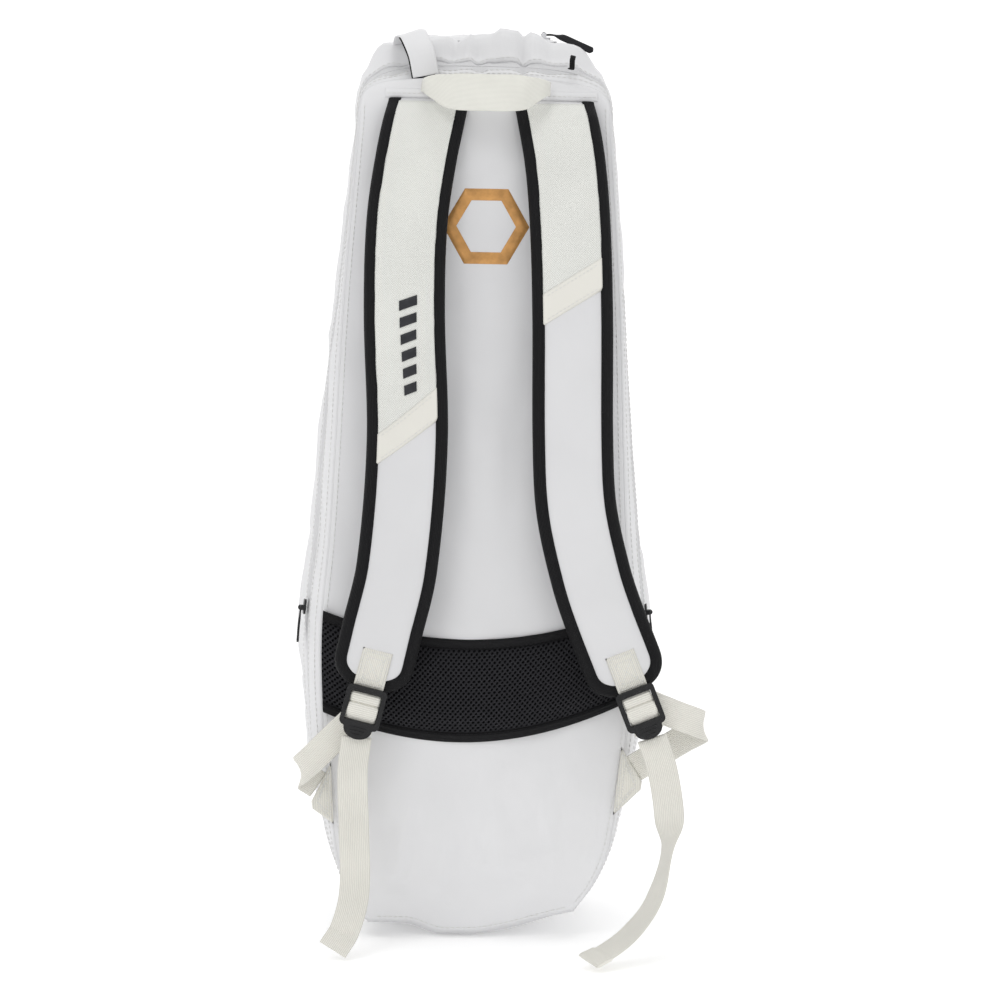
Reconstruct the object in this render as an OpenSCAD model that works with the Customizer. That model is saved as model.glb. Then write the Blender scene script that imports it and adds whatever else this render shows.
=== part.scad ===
// Racket backpack: a tall, slim bag with a clamshell lid, two shoulder straps and a lumbar pad.
// The bag stands on its base. +Z is up and the harness side faces -Y.

/* [Bag] */
// Height of the side walls up to the shoulder of the bag
shoulder_z = 695; // [690:1:700]
// Rise of the domed top above the shoulder
dome_h = 76; // [70:1:80]
// Rise of the seam line of the top above the shoulder
seam_rise = 35; // [32:1:38]
// Height at which the lid hinges and the main zip ends
lid_z = 270; // [265:1:275]
// Thickness of the coated fabric with its lining
cloth_t = 2.4; // [2:0.1:3]
// Width of the flat base
base_w = 184; // [180:1:186]
// Depth of the flat base
base_d = 170; // [166:1:172]

/* [Straps] */
// Width of a shoulder strap with its edge tape
strap_w = 67; // [64:1:70]
// Thickness of a shoulder strap
strap_t = 10; // [8:1:11]
// Width of the edge tape seen from the front
tape_w = 10; // [8:1:11]
// Width of the harness webbing
web_w = 25; // [24:1:26]
// Thickness of the harness webbing
web_t = 1.8; // [1.4:0.1:2]

/* [Hardware] */
// Width of a ladder lock
lock_w = 36; // [34:1:38]
// Height of a ladder lock without its thumb tab
lock_h = 36; // [34:1:38]
// Thickness of a ladder lock
lock_t = 5; // [4:0.5:6]
// Radius of the bar that a ladder lock swivels on
bar_r = 2; // [1.5:0.1:2.2]
// Width of a zip tape
zip_w = 9; // [8:1:10]

/* [Hidden] */
$fn = 48;
fit = 0.06;
gap = 0.4;
eps = 0.01;

body_c = [0.86, 0.86, 0.87];
cream_c = [0.91, 0.90, 0.86];
black_c = [0.1, 0.1, 0.11];
bronze_c = [0.74, 0.5, 0.27];
silver_c = [0.75, 0.75, 0.76];

// Stations of the bag: [height, half width] at mid depth and at the seams
mid_table = [[0, 91], [30, 110], [65, 123], [110, 134], [180, 147], [265, 153],
             [340, 146], [420, 138], [540, 125], [695, 110]];
seam_table = [[0, 88], [30, 105], [65, 115], [110, 121], [180, 129], [265, 132],
              [340, 126], [420, 122], [540, 117], [695, 106]];
// [height, depth] of the back seam and of the front seam
back_table = [[0, -84], [30, -100], [80, -110], [200, -114], [600, -114], [695, -110], [731, -104]];
front_table = [[0, 84], [30, 98], [90, 110], [270, 114], [500, 104], [695, 84], [731, 76]];
panel_crown = 6;
front_crown = 16;
// [height, share of the crown that the panels have there]
crown_table = [[0, 0], [50, 0.5], [130, 1], [580, 1], [695, 0.35], [731, 0]];
dome_power = 3;
seam_power = 4;
// Depth fractions of the gusset where the main zip runs
zip_a = 0.13;
zip_b = 0.165;
zip_c = 0.20;
// Share of the depth that a gusset leaves to the front and back panels at its seams
seam_clear = 0.018;
floor_z = 3.4;

// ---------- curves ----------

// Index of the span of a table that holds x
function span(t, x, i = 0) = (i >= len(t) - 2 || x < t[i + 1][0]) ? i : span(t, x, i + 1);
// Slope of a table at station i
function slope(t, i) =
    let (a = max(i - 1, 0), b = min(i + 1, len(t) - 1))
    (t[b][1] - t[a][1]) / (t[b][0] - t[a][0]);
// Smooth curve through the [position, value] stations of a table
function curve(t, x) =
    let (i = span(t, x), h = t[i + 1][0] - t[i][0], s = min(max((x - t[i][0]) / h, 0), 1))
    (2 * s ^ 3 - 3 * s ^ 2 + 1) * t[i][1] + (s ^ 3 - 2 * s ^ 2 + s) * h * slope(t, i)
    + (3 * s ^ 2 - 2 * s ^ 3) * t[i + 1][1] + (s ^ 3 - s ^ 2) * h * slope(t, i + 1);
function lerp(a, b, t) = a + (b - a) * t;
function unit(v) = v / norm(v);
function signed_pow(v, p) = sign(v) * abs(v) ^ p;
// Point of a super-ellipse arch with half width w and height h at angle a
function arch(w, h, power, a) =
    [w * signed_pow(cos(a), 2 / power), shoulder_z + h * abs(sin(a)) ^ (2 / power)];
// Rise of the gusset from its seams to its middle, at depth fraction t
function swell(t) = sin(180 * min(max(t, 0), 1)) ^ 0.7;

// ---------- the bag's surface ----------

// Gusset point on the side wall: side is -1 or 1, height z, depth fraction t
function side_point(side, z, t) =
    let (w = lerp(curve(seam_table, z), curve(mid_table, z), swell(t)))
    [side * w, lerp(curve(back_table, z), curve(front_table, z), t), z];
// Gusset point over the top: angle a from 0 at the right shoulder to 180 at the left
function top_point(a, t) =
    let (s = arch(curve(seam_table, shoulder_z), seam_rise, seam_power, a),
         m = arch(curve(mid_table, shoulder_z), dome_h, dome_power, a),
         p = lerp(s, m, swell(t)))
    [p[0], lerp(curve(back_table, s[1]), curve(front_table, s[1]), t), p[1]];
// Half width of the seam outline at height z, over the shoulder too
function seam_half(z) =
    z <= shoulder_z ? curve(seam_table, z)
    : curve(seam_table, shoulder_z) * (1 - ((z - shoulder_z) / seam_rise) ^ seam_power) ^ (1 / seam_power);
// Back panel and front panel points: u from -1 to 1 across
function back_point(u, z) =
    [u * seam_half(z), curve(back_table, z) - panel_crown * curve(crown_table, z) * (1 - u ^ 2), z];
function front_point(u, z) =
    [u * seam_half(z), curve(front_table, z) + front_crown * curve(crown_table, z) * (1 - u ^ 2), z];
panel_top_z = shoulder_z + 0.985 * seam_rise;
// Height at v from 0 to 1, with rows closer together towards the rounded top
function panel_z(low, v) = lerp(low, panel_top_z, 1 - (1 - v) ^ 1.6);

// ---------- solids from surfaces ----------

// Unit normal of surface f, from differences that stay inside the unit square
function normal(f, u, v) =
    let (e = 0.01)
    unit(cross(f(min(u + e, 1), v) - f(max(u - e, 0), v), f(u, min(v + e, 1)) - f(u, max(v - e, 0))));

// Closed solid between surface f (outside) and surface g (inside) over the unit square
module slab(f, g, nu, nv) {
    row = nu + 1;
    n = row * (nv + 1);
    pts = concat([for (j = [0:nv]) for (i = [0:nu]) f(i / nu, j / nv)],
                 [for (j = [0:nv]) for (i = [0:nu]) g(i / nu, j / nv)]);
    quads = concat(
        [for (j = [0:nv - 1]) for (i = [0:nu - 1])
            let (a = j * row + i) [a, a + row, a + row + 1, a + 1]],
        [for (j = [0:nv - 1]) for (i = [0:nu - 1])
            let (a = n + j * row + i) [a, a + 1, a + row + 1, a + row]],
        [for (i = [0:nu - 1]) [i, i + 1, n + i + 1, n + i]],
        [for (i = [0:nu - 1]) let (a = nv * row + i) [a + 1, a, n + a, n + a + 1]],
        [for (j = [0:nv - 1]) let (a = j * row) [a + row, a, n + a, n + a + row]],
        [for (j = [0:nv - 1]) let (a = j * row + nu) [a, a + row, n + a + row, n + a]]);
    polyhedron(pts, [for (q = quads) each [[q[0], q[1], q[2]], [q[0], q[2], q[3]]]]);
}
// Cloth of thickness t whose outside is f; push moves it out along the normal
module cloth(f, nu, nv, t = cloth_t, push = 0) {
    slab(function (u, v) f(u, v) + push * normal(f, u, v),
         function (u, v) f(u, v) + (push - t) * normal(f, u, v), nu, nv);
}
// Closed solid through a list of equal loops
module sweep(loops) {
    n = len(loops[0]);
    last = (len(loops) - 1) * n;
    side = [for (k = [0:len(loops) - 2]) for (i = [0:n - 1])
        let (a = k * n + i, b = k * n + (i + 1) % n) each [[a, b, b + n], [a, b + n, a + n]]];
    caps = [for (i = [1:n - 2]) each [[0, i + 1, i], [last, last + i, last + i + 1]]];
    polyhedron([for (l = loops) each l], concat(side, caps));
}
// Flat band along a table of [distance, [x, y, z, angle, width]] stations.
// The angle turns the band's width away from +X in the XZ plane, and the width may be left out.
function band_at(t, s) = let (p = curve(t, s)) [p[0], p[1], p[2]];
function band_loop(t, s, w, th) =
    let (p = curve(t, s), e = 0.5,
         dir = unit(band_at(t, s + e) - band_at(t, s - e)),
         a = p[3], want = [cos(a), 0, -sin(a)],
         side = unit(want - (want * dir) * dir), face = cross(dir, side),
         c = [p[0], p[1], p[2]], wide = len(p) > 4 ? p[4] : w)
    [for (k = [[-1, -1], [1, -1], [1, 1], [-1, 1]]) c + k[0] * side * wide / 2 + k[1] * face * th / 2];
module band(t, n, w = web_w, th = web_t) {
    first = t[0][0];
    last = t[len(t) - 1][0];
    sweep([for (k = [0:n]) band_loop(t, lerp(first + eps, last - eps, k / n), w, th)]);
}

// ---------- shell of the bag ----------

module back_panel() color(body_c)
    cloth(function (u, v) back_point(2 * u - 1, panel_z(floor_z, v)), 8, 22);

module lower_front_panel() color(body_c)
    cloth(function (u, v) front_point(1 - 2 * u, lerp(floor_z, lid_z - gap, v)), 8, 10);

module lower_gusset(side) color(body_c)
    cloth(function (u, v) side_point(side, lerp(floor_z, lid_z - gap, v),
                                     lerp(seam_clear, 1 - seam_clear, side > 0 ? u : 1 - u)), 8, 10);
module lower_left_gusset() lower_gusset(-1);
module lower_right_gusset() lower_gusset(1);

module rear_gusset(side) color(body_c)
    cloth(function (u, v) side_point(side, lerp(lid_z + gap, shoulder_z - gap, v),
                                     lerp(seam_clear, zip_a, side > 0 ? u : 1 - u)), 2, 14);
module rear_left_gusset() rear_gusset(-1);
module rear_right_gusset() rear_gusset(1);

module rear_top_gusset() color(body_c)
    cloth(function (u, v) top_point(180 * v, lerp(seam_clear, zip_a, u)), 2, 28);

module rounded_plate(w, d, r, h) {
    linear_extrude(h) {
        square([w - 2 * r, d], center = true);
        square([w, d - 2 * r], center = true);
        for (sx = [-1, 1], sy = [-1, 1])
            translate([sx * (w / 2 - r), sy * (d / 2 - r)]) circle(r);
    }
}
module base_panel() color(body_c) rounded_plate(base_w, base_d, 16, 3);
module base_stiffener() color(black_c)
    translate([0, 0, 3.2]) rounded_plate(base_w - 60, base_d - 40, 12, 2.4);

// ---------- main zip ----------

// One side of the zip tape: up the left wall, over the top and down the right wall
module zip_side(t0, t1, push) {
    for (side = [-1, 1])
        cloth(function (u, v) side_point(side, lerp(lid_z + gap, shoulder_z - gap, v),
                                         lerp(t0, t1, side > 0 ? u : 1 - u)), 1, 14, 1.4, push);
    cloth(function (u, v) top_point(180 * v, lerp(t0, t1, u)), 1, 24, 1.4, push);
}
module rear_zip_tape() color(body_c * 0.93) zip_side(zip_a + 0.002, zip_b - 0.001, 0);
module lid_zip_tape() color(body_c * 0.93) zip_side(zip_b + 0.001, zip_c - 0.002, 0);

// ---------- lid ----------

module lid_front_panel() color(body_c)
    cloth(function (u, v) front_point(1 - 2 * u, panel_z(lid_z + gap, v)), 8, 16);

module lid_gusset(side) color(body_c)
    cloth(function (u, v) side_point(side, lerp(lid_z + gap, shoulder_z - gap, v),
                                     lerp(zip_c, 1 - seam_clear, side > 0 ? u : 1 - u)), 7, 14);
module lid_left_gusset() lid_gusset(-1);
module lid_right_gusset() lid_gusset(1);

module lid_top_panel() color(body_c)
    cloth(function (u, v) top_point(180 * v, lerp(zip_c, 1 - seam_clear, u)), 8, 24);

// Flat front pocket, a padded panel on the lid
pocket_z = [305, 560];
pocket_half = 0.78;
pocket_t = 7;
function pocket_face(u, v) = front_point(pocket_half * (1 - 2 * u), lerp(pocket_z[0], pocket_z[1], v));
module front_pocket() color(body_c)
    slab(function (u, v) pocket_face(u, v)
             + [0, gap + pocket_t * (1 - (2 * u - 1) ^ 6) * (1 - (2 * v - 1) ^ 8) + 1, 0],
         function (u, v) pocket_face(u, v) + [0, gap, 0], 10, 12);

pocket_zip_z = 572;
pocket_zip_len = 150;
pocket_zip_y = front_point(0, pocket_zip_z)[1] + 1;
module pocket_zip() color(black_c)
    translate([-pocket_zip_len / 2, pocket_zip_y, pocket_zip_z - zip_w / 2])
        cube([pocket_zip_len, 2, zip_w]);

top_zip_t = 0.30;
top_zip_len = 116;
top_zip_rise = 2;
top_zip_z = top_point(90, top_zip_t)[2] + top_zip_rise;
top_zip_y = top_point(90, top_zip_t)[1];
module top_pocket_zip() color(body_c * 0.93)
    translate([-top_zip_len / 2, top_zip_y - zip_w / 2, top_zip_z]) cube([top_zip_len, zip_w, 2]);

// ---------- inside ----------

// Flat sheet that follows the seam outline, inset by edge
module outline_sheet(y, t, z0, z1, edge, steps = 12) {
    zs = [for (k = [0:steps]) lerp(z0, z1, k / steps)];
    translate([0, y + t, 0]) rotate([90, 0, 0]) linear_extrude(t)
        polygon(concat([for (z = zs) [curve(seam_table, z) - edge, z]],
                       [for (k = [steps:-1:0]) [edge - curve(seam_table, zs[k]), zs[k]]]));
}
module back_foam() color(cream_c) outline_sheet(-107.5, 3, 100, 680, 9);
module back_stiffener() color(black_c) outline_sheet(-104, 1.6, 100, 670, 14);
module padded_divider() color(black_c) outline_sheet(-66, 4, 12, 500, 10);

// ---------- lumbar pad ----------

pad_half = 0.985;
pad_t = 17;
pad_edge_t = 5;
pad_tape_w = 9;
function pad_x(u) = pad_half * (2 * u - 1);
function pad_low(u) = 174 + 30 * (pad_x(u) + 0.1) ^ 2;
function pad_high(u) = 260 + 26 * (pad_x(u) + 0.06) ^ 2;
// Height inside the pad at v from 0 to 1, inset by edge
function pad_z(u, v, edge) = lerp(pad_low(u) + edge, pad_high(u) - edge, v);
function pad_face(u, v, edge, out) = back_point(pad_x(u), pad_z(u, v, edge)) - [0, out, 0];
module lumbar_pad() color(black_c)
    slab(function (u, v) pad_face(u, v, pad_tape_w + gap,
             pad_edge_t + (pad_t - pad_edge_t) * (1 - (2 * v - 1) ^ 4) * (1 - (2 * u - 1) ^ 6)),
         function (u, v) pad_face(u, v, pad_tape_w + gap, gap), 14, 8);
module lumbar_edge_tape() color(black_c * 1.4)
    for (v = [[-0.001, -1], [1.001, 1]])
        slab(function (s, w) pad_face(s, v[0], pad_tape_w, pad_edge_t)
                 + [0, 0, v[1] * pad_tape_w * (v[1] > 0 ? w : 1 - w)],
             function (s, w) pad_face(s, v[0], pad_tape_w, gap)
                 + [0, 0, v[1] * pad_tape_w * (v[1] > 0 ? w : 1 - w)], 12, 1);

// ---------- emblem ----------

emblem_z = 606;
emblem_r = 36;
module emblem() color(bronze_c)
    translate([2, curve(back_table, emblem_z) - panel_crown - 1.2, emblem_z]) rotate([90, 0, 0])
        linear_extrude(0.8) difference() {
            circle(emblem_r, $fn = 6);
            circle(emblem_r - 11, $fn = 6);
        }

// ---------- loops and seam at the top ----------

seam_z = shoulder_z + 17;
module strap_seam_tape() color(body_c)
    translate([-84, -113, seam_z + 1]) cube([178, 1.2, 7]);

hang_table = [[0, [-52, -110, 730, 0]], [22, [-57, -112, 750, 0]], [40, [-62, -108, 766, 0]],
              [48, [-63, -101, 769, 0]], [58, [-62, -97, 762, 0]], [78, [-58, -96, 744, 0]]];
module hang_loop() color(cream_c) band(hang_table, 16, 22, web_t);

module small_loop() color(black_c)
    translate([72, -105, 745]) rotate([0, 20, 0]) difference() {
        cube([4, 12, 14], center = true);
        translate([0, 0, -1]) cube([5, 8, 8], center = true);
    }

// ---------- shoulder straps ----------

// [distance below the strap seam, [x, y]] of each strap's middle line
left_path = [[0, [-47, -119]], [50, [-57, -129]], [105, [-64, -138]], [180, [-65, -145]],
             [285, [-61, -148]], [390, [-68, -148]], [445, [-80, -148]], [490, [-90, -148]],
             [515, [-96, -148]]];
right_path = [[0, [57, -119]], [50, [66, -129]], [105, [71, -138]], [180, [74, -145]],
              [285, [76, -148]], [340, [80, -148]], [395, [93, -148]], [427, [104, -148]],
              [474, [123, -148]], [515, [138, -148]]];
strap_len = 492;
end_r = 26;
end_power = 2.4;
pad_inset = tape_w + 0.3;

function strap_mid(path, s) = let (p = curve(path, s)) [p[0], p[1], seam_z - s];
// Point of a strap: s down from the seam, d across to the right, h out of the front
function strap_point(path, s, d, h) =
    let (e = 2,
         dir = unit(strap_mid(path, min(s + e, strap_len)) - strap_mid(path, max(s - e, 0))),
         out = unit([0, -1, 0] - ([0, -1, 0] * dir) * dir),
         right = cross(out, dir))
    strap_mid(path, s) + d * right + h * out;
// Outline of a strap inset by e: half width at distance s
function strap_half(s, e) =
    let (s0 = strap_len - end_r, r = end_r - e)
    s <= s0 ? strap_w / 2 - e
    : (strap_w / 2 - e) * max(1 - ((s - s0) / r) ^ end_power, 0) ^ (1 / end_power);
module strap_pad(path) color(body_c) {
    last = strap_len - pad_inset - 0.6;
    sweep([for (k = [0:30])
        let (s = lerp(0, last, k <= 22 ? k / 22 * 0.93 : 0.93 + (k - 22) / 8 * 0.07),
             w = strap_half(s, pad_inset))
        [for (i = [0:11]) let (a = 30 * i + 15)
            strap_point(path, s, w * signed_pow(cos(a), 0.35), strap_t / 2 * signed_pow(sin(a), 0.5))]]);
}
// Edge tape as one rail down one edge, round the end and up the other edge
function tape_station(k) =
    let (w = strap_w / 2 - tape_w / 2, r = end_r - tape_w / 2, s0 = strap_len - end_r)
    k < 20 ? [w, s0 * k / 20]
    : k > 36 ? [-w, s0 * (56 - k) / 20]
    : let (a = (k - 20) / 16 * 180)
      [w * signed_pow(cos(a), 2 / end_power), s0 + r * sin(a) ^ (2 / end_power)];
module strap_tape(path) color(black_c)
    sweep([for (k = [0:56])
        let (p = tape_station(k), dir = unit(tape_station(min(k + 1, 56)) - tape_station(max(k - 1, 0))),
             side = [dir[1], -dir[0]] * tape_w / 2, th = strap_t / 2 - 0.6)
        [for (c = [[-1, -1], [1, -1], [1, 1], [-1, 1]])
            strap_point(path, p[1] + c[0] * side[1], p[0] + c[0] * side[0], c[1] * th)]]);
// Textured overlay on the upper part, cut off along a slanted seam
module strap_overlay(path, left_end, right_end) color(cream_c) {
    half = strap_w / 2 - tape_w - 1;
    slab(function (u, v) strap_point(path, 6 + v * (lerp(left_end, right_end, u) - 6),
                                     half * (2 * u - 1), strap_t / 2 + 1),
         function (u, v) strap_point(path, 6 + v * (lerp(left_end, right_end, u) - 6),
                                     half * (2 * u - 1), strap_t / 2 + 0.2), 4, 18);
}
module left_strap_pad() strap_pad(left_path);
module left_strap_tape() strap_tape(left_path);
module left_strap_overlay() strap_overlay(left_path, 306, 268);
module right_strap_pad() strap_pad(right_path);
module right_strap_tape() strap_tape(right_path);
module right_strap_overlay() strap_overlay(right_path, 188, 159);

// ---------- ladder locks ----------

left_lock = [-90, -157.2, 222.5];
left_lean = 14;
right_lock = [129.5, -157.2, 224];
right_lean = -22;
window_w = web_w + 2;
tab_r = 13;
module at_lock(pos, lean) translate(pos) rotate([0, lean, 0]) children();

// Box-stitched webbing patch with its eye around the top bar
module strap_tab(pos, lean) color(cream_c) at_lock(pos, lean) {
    eye_r = bar_r + fit;
    difference() {
        union() {
            rotate([0, 90, 0]) cylinder(r = eye_r + web_t, h = web_w, center = true);
            translate([-web_w / 2, eye_r, 0]) cube([web_w, web_t, 40]);
        }
        rotate([0, 90, 0]) cylinder(r = eye_r, h = web_w + 1, center = true);
    }
}
module left_strap_tab() strap_tab(left_lock, left_lean);
module right_strap_tab() strap_tab(right_lock, right_lean);

// Ladder lock: round top bar, flat middle and bottom bars, half-round thumb tab
module ladder_lock(pos, lean) color(black_c) at_lock(pos, lean) {
    rail_w = (lock_w - window_w) / 2;
    rotate([0, 90, 0]) cylinder(r = bar_r, h = lock_w - 1, center = true);
    for (side = [-1, 1])
        translate([side * (lock_w - rail_w) / 2, 0, -lock_h / 2 + 3])
            cube([rail_w, lock_t, lock_h], center = true);
    translate([0, 0, -17.5]) cube([lock_w - 1, 3, 3], center = true);
    translate([0, -0.5, -31]) cube([lock_w - 1, 4, 4], center = true);
    translate([0, -2.5, -31]) rotate([90, 0, 0]) intersection() {
        cylinder(r = tab_r, h = 3, center = true);
        translate([0, -tab_r, 0]) cube(2 * tab_r, center = true);
    }
}
module left_ladder_lock() ladder_lock(left_lock, left_lean);
module right_ladder_lock() ladder_lock(right_lock, right_lean);

// Webbing threaded through a lock: from behind, over the middle bar, then behind the bottom bar
thread_path = [[4.4, -8], [2.2, -12.5], [-3, -14.5], [-3, -22], [1.2, -27.5], [3.6, -31], [3.6, -38]];
module threaded_webbing(pos, lean) color(cream_c) at_lock(pos, lean)
    translate([-web_w / 2, 0, 0]) rotate([90, 0, 90]) linear_extrude(web_w)
        polygon(concat([for (p = thread_path) p - [web_t / 2, 0]],
                       [for (k = [len(thread_path) - 1:-1:0]) thread_path[k] + [web_t / 2, 0]]));
module left_threaded_webbing() threaded_webbing(left_lock, left_lean);
module right_threaded_webbing() threaded_webbing(right_lock, right_lean);

// ---------- webbing ----------

left_loop = [[0, [-97, -151, 200, 44]], [34, [-121, -142, 176, 47]], [56, [-137, -136, 159, 54]],
             [68, [-144.5, -131, 151, 68]], [77, [-144.5, -124, 145, 86]],
             [90, [-137, -117.5, 139, 104]], [98, [-131.5, -115, 135, 112]]];
right_loop = [[0, [142, -151, 212, 112]], [30, [169, -145, 201, 108]], [44, [182, -140, 196, 102]],
              [55, [190, -134, 192, 90]], [64, [190, -127, 188, 78]], [84, [175, -120, 178, 64]],
              [134, [135, -115, 152, 57]]];
module left_lower_webbing() color(cream_c) band(left_loop, 28, web_w - 1);
module right_lower_webbing() color(cream_c) band(right_loop, 32, web_w - 1);

left_tail_path = [[0, [-99, -154, 182, 8]], [30, [-102, -155.5, 152, 2]],
                  [78, [-100, -158, 104, -1]], [129, [-99, -165, 54, 0]],
                  [160, [-106, -172, 25, 12]], [181, [-116, -178.5, 9, 24]]];
right_tail_path = [[0, [146, -154, 184, -20]], [29, [155, -156, 157, -14]],
                   [66, [161, -160, 120, -2]], [92, [160, -165, 95, 8]],
                   [135, [149, -174, 54, 28]], [166, [132, -184, 30.5, 45]],
                   [195, [110, -197, 17, 60]], [216, [93, -206, 13.5, 66]]];
module left_tail() color(cream_c) band(left_tail_path, 18);
module right_tail() color(cream_c) band(right_tail_path, 20);

// Triangular anchor tabs sewn to the side seams
module anchor_tab(points, depth) color(cream_c)
    translate([0, depth, 0]) rotate([90, 0, 0]) linear_extrude(2) polygon(points);
module left_anchor_tab() anchor_tab([[-121, 154], [-137, 118], [-118, 102]], -116.2);
module right_anchor_tab() anchor_tab([[124, 170], [142, 138], [118, 112]], -116.2);

handle_path = [[0, [-52, -113.6, 721.5, 90, 12]], [15, [-49, -128, 721, 90, 13]],
               [42, [-28, -146, 717, 90, 23]], [70, [0, -151, 715, 90, 25]],
               [98, [28, -146, 717, 90, 23]], [125, [49, -128, 721, 90, 13]],
               [140, [52, -113.6, 721.5, 90, 12]]];
module grab_handle() color(cream_c) band(handle_path, 20);

// ---------- zip sliders and pulls ----------

slider_l = 13;
slider_w = 8;
slider_h = 2;
pull_l = 30;
pull_t = 2.2;
pin_r = 0.9;
pin_out = 4.3;
pull_w = 4;
slider_travel_z = 250;
slider_z = 282;
slider_out = 1.2;
// Line that a side slider runs on: its low end, its direction and the way out of the wall
function run_low(side) = side_point(side, slider_z, zip_b);
function run_dir(side) = unit(side_point(side, slider_z + slider_travel_z, zip_b) - run_low(side));
function run_out(side) =
    let (d = run_dir(side),
         w = side_point(side, slider_z, zip_b + 0.02) - side_point(side, slider_z, zip_b - 0.02))
    unit(cross(d, w)) * -side;
// Frame with X out of the wall, Y along the depth, Z along the run
module on_run(side) {
    z = run_dir(side);
    x = run_out(side);
    y = cross(z, x);
    p = run_low(side) + x * slider_out;
    multmatrix([[x[0], y[0], z[0], p[0]], [x[1], y[1], z[1], p[1]], [x[2], y[2], z[2], p[2]]]) children();
}
// Slider: plate on the coil with a bridge that carries the pull; X is out, Z is along the zip
module slider_body() {
    translate([0, -slider_w / 2, -slider_l / 2]) cube([slider_h, slider_w, slider_l]);
    for (side = [-1, 1])
        translate([0, side * (slider_w / 2 - 0.8) - 0.8, -3]) cube([pin_out + pin_r + 0.3, 1.6, 4]);
    translate([pin_out, 0, -1]) rotate([90, 0, 0])
        cylinder(r = pin_r, h = slider_w - 1, center = true);
}
// Pull: an eye around the slider's pin and a tongue, straight over the slider and then turned
module pull_body(length, turn = [0, 0, 0]) {
    straight = slider_l / 2 + 1;
    translate([pin_out, 0, -1]) {
        difference() {
            union() {
                rotate([90, 0, 0]) cylinder(r = pull_t / 2 + 0.9, h = pull_w, center = true);
                translate([-0.5, -pull_w / 2, -straight]) cube([pull_t - 0.4, pull_w, straight]);
            }
            rotate([90, 0, 0]) cylinder(r = pin_r + fit, h = pull_w + 1, center = true);
        }
        translate([-0.5, 0, -straight]) rotate(turn)
            translate([0, -pull_w / 2, straight - length]) cube([pull_t - 0.4, pull_w, length - straight + 0.2]);
    }
}
module left_slider() color(black_c) on_run(-1) slider_body();
module left_pull() color(black_c) on_run(-1) pull_body(pull_l);
module right_slider() color(black_c) on_run(1) slider_body();
module right_pull() color(black_c) on_run(1) pull_body(pull_l);

// The top slider rests at the right end of its zip, its pull lying down towards the back
top_slider_x = 50;
top_pull_turn = [-33, 20, 0];
module on_top() translate([top_slider_x, top_zip_y, top_zip_z + 2.4]) rotate([0, -90, 0]) children();
module top_slider() color(silver_c) on_top() slider_body();
module top_pull() color(black_c) on_top() pull_body(44, top_pull_turn);

pocket_slider_x = 62;
module on_pocket() translate([pocket_slider_x, pocket_zip_y + 2.4, pocket_zip_z])
    rotate([90, 0, 90]) children();
module pocket_slider() color(black_c) on_pocket() slider_body();
module pocket_pull() color(black_c) on_pocket() pull_body(pull_l);

back_panel();
lower_front_panel();
lower_left_gusset();
lower_right_gusset();
rear_left_gusset();
rear_right_gusset();
rear_top_gusset();
base_panel();
rear_zip_tape();
back_foam();
back_stiffener();
base_stiffener();
padded_divider();
lumbar_pad();
lumbar_edge_tape();
emblem();
strap_seam_tape();
hang_loop();
small_loop();
left_anchor_tab();
right_anchor_tab();
left_lower_webbing();
right_lower_webbing();
lid_front_panel();
lid_left_gusset();
lid_right_gusset();
lid_top_panel();
lid_zip_tape();
front_pocket();
pocket_zip();
top_pocket_zip();
left_slider();
left_pull();
right_slider();
right_pull();
top_slider();
top_pull();
pocket_slider();
pocket_pull();
grab_handle();
left_strap_pad();
left_strap_overlay();
left_strap_tape();
left_strap_tab();
right_strap_pad();
right_strap_overlay();
right_strap_tape();
right_strap_tab();
left_ladder_lock();
left_threaded_webbing();
left_tail();
right_ladder_lock();
right_threaded_webbing();
right_tail();
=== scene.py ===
"""Looks of a racket backpack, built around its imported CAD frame. Shape code works in millimetres."""
import math
import bpy
import numpy as np
from mathutils import Matrix, Vector


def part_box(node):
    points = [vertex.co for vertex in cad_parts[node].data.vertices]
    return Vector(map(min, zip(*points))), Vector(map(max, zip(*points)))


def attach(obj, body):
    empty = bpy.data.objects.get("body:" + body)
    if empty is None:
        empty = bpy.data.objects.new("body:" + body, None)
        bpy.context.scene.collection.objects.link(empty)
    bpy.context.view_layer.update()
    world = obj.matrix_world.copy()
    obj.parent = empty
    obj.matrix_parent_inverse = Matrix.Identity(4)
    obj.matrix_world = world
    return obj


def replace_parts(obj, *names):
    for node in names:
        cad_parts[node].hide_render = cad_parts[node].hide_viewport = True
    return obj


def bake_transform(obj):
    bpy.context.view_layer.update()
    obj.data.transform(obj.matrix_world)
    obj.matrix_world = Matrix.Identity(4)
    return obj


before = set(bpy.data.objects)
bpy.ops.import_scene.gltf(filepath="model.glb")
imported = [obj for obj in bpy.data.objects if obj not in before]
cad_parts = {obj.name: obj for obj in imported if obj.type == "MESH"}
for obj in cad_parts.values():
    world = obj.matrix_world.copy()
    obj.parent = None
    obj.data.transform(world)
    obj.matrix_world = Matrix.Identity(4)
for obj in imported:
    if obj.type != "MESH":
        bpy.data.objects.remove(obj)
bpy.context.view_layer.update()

MM = 0.001

# ---------- the bag's driving shape, as in the CAD source ----------

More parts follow.
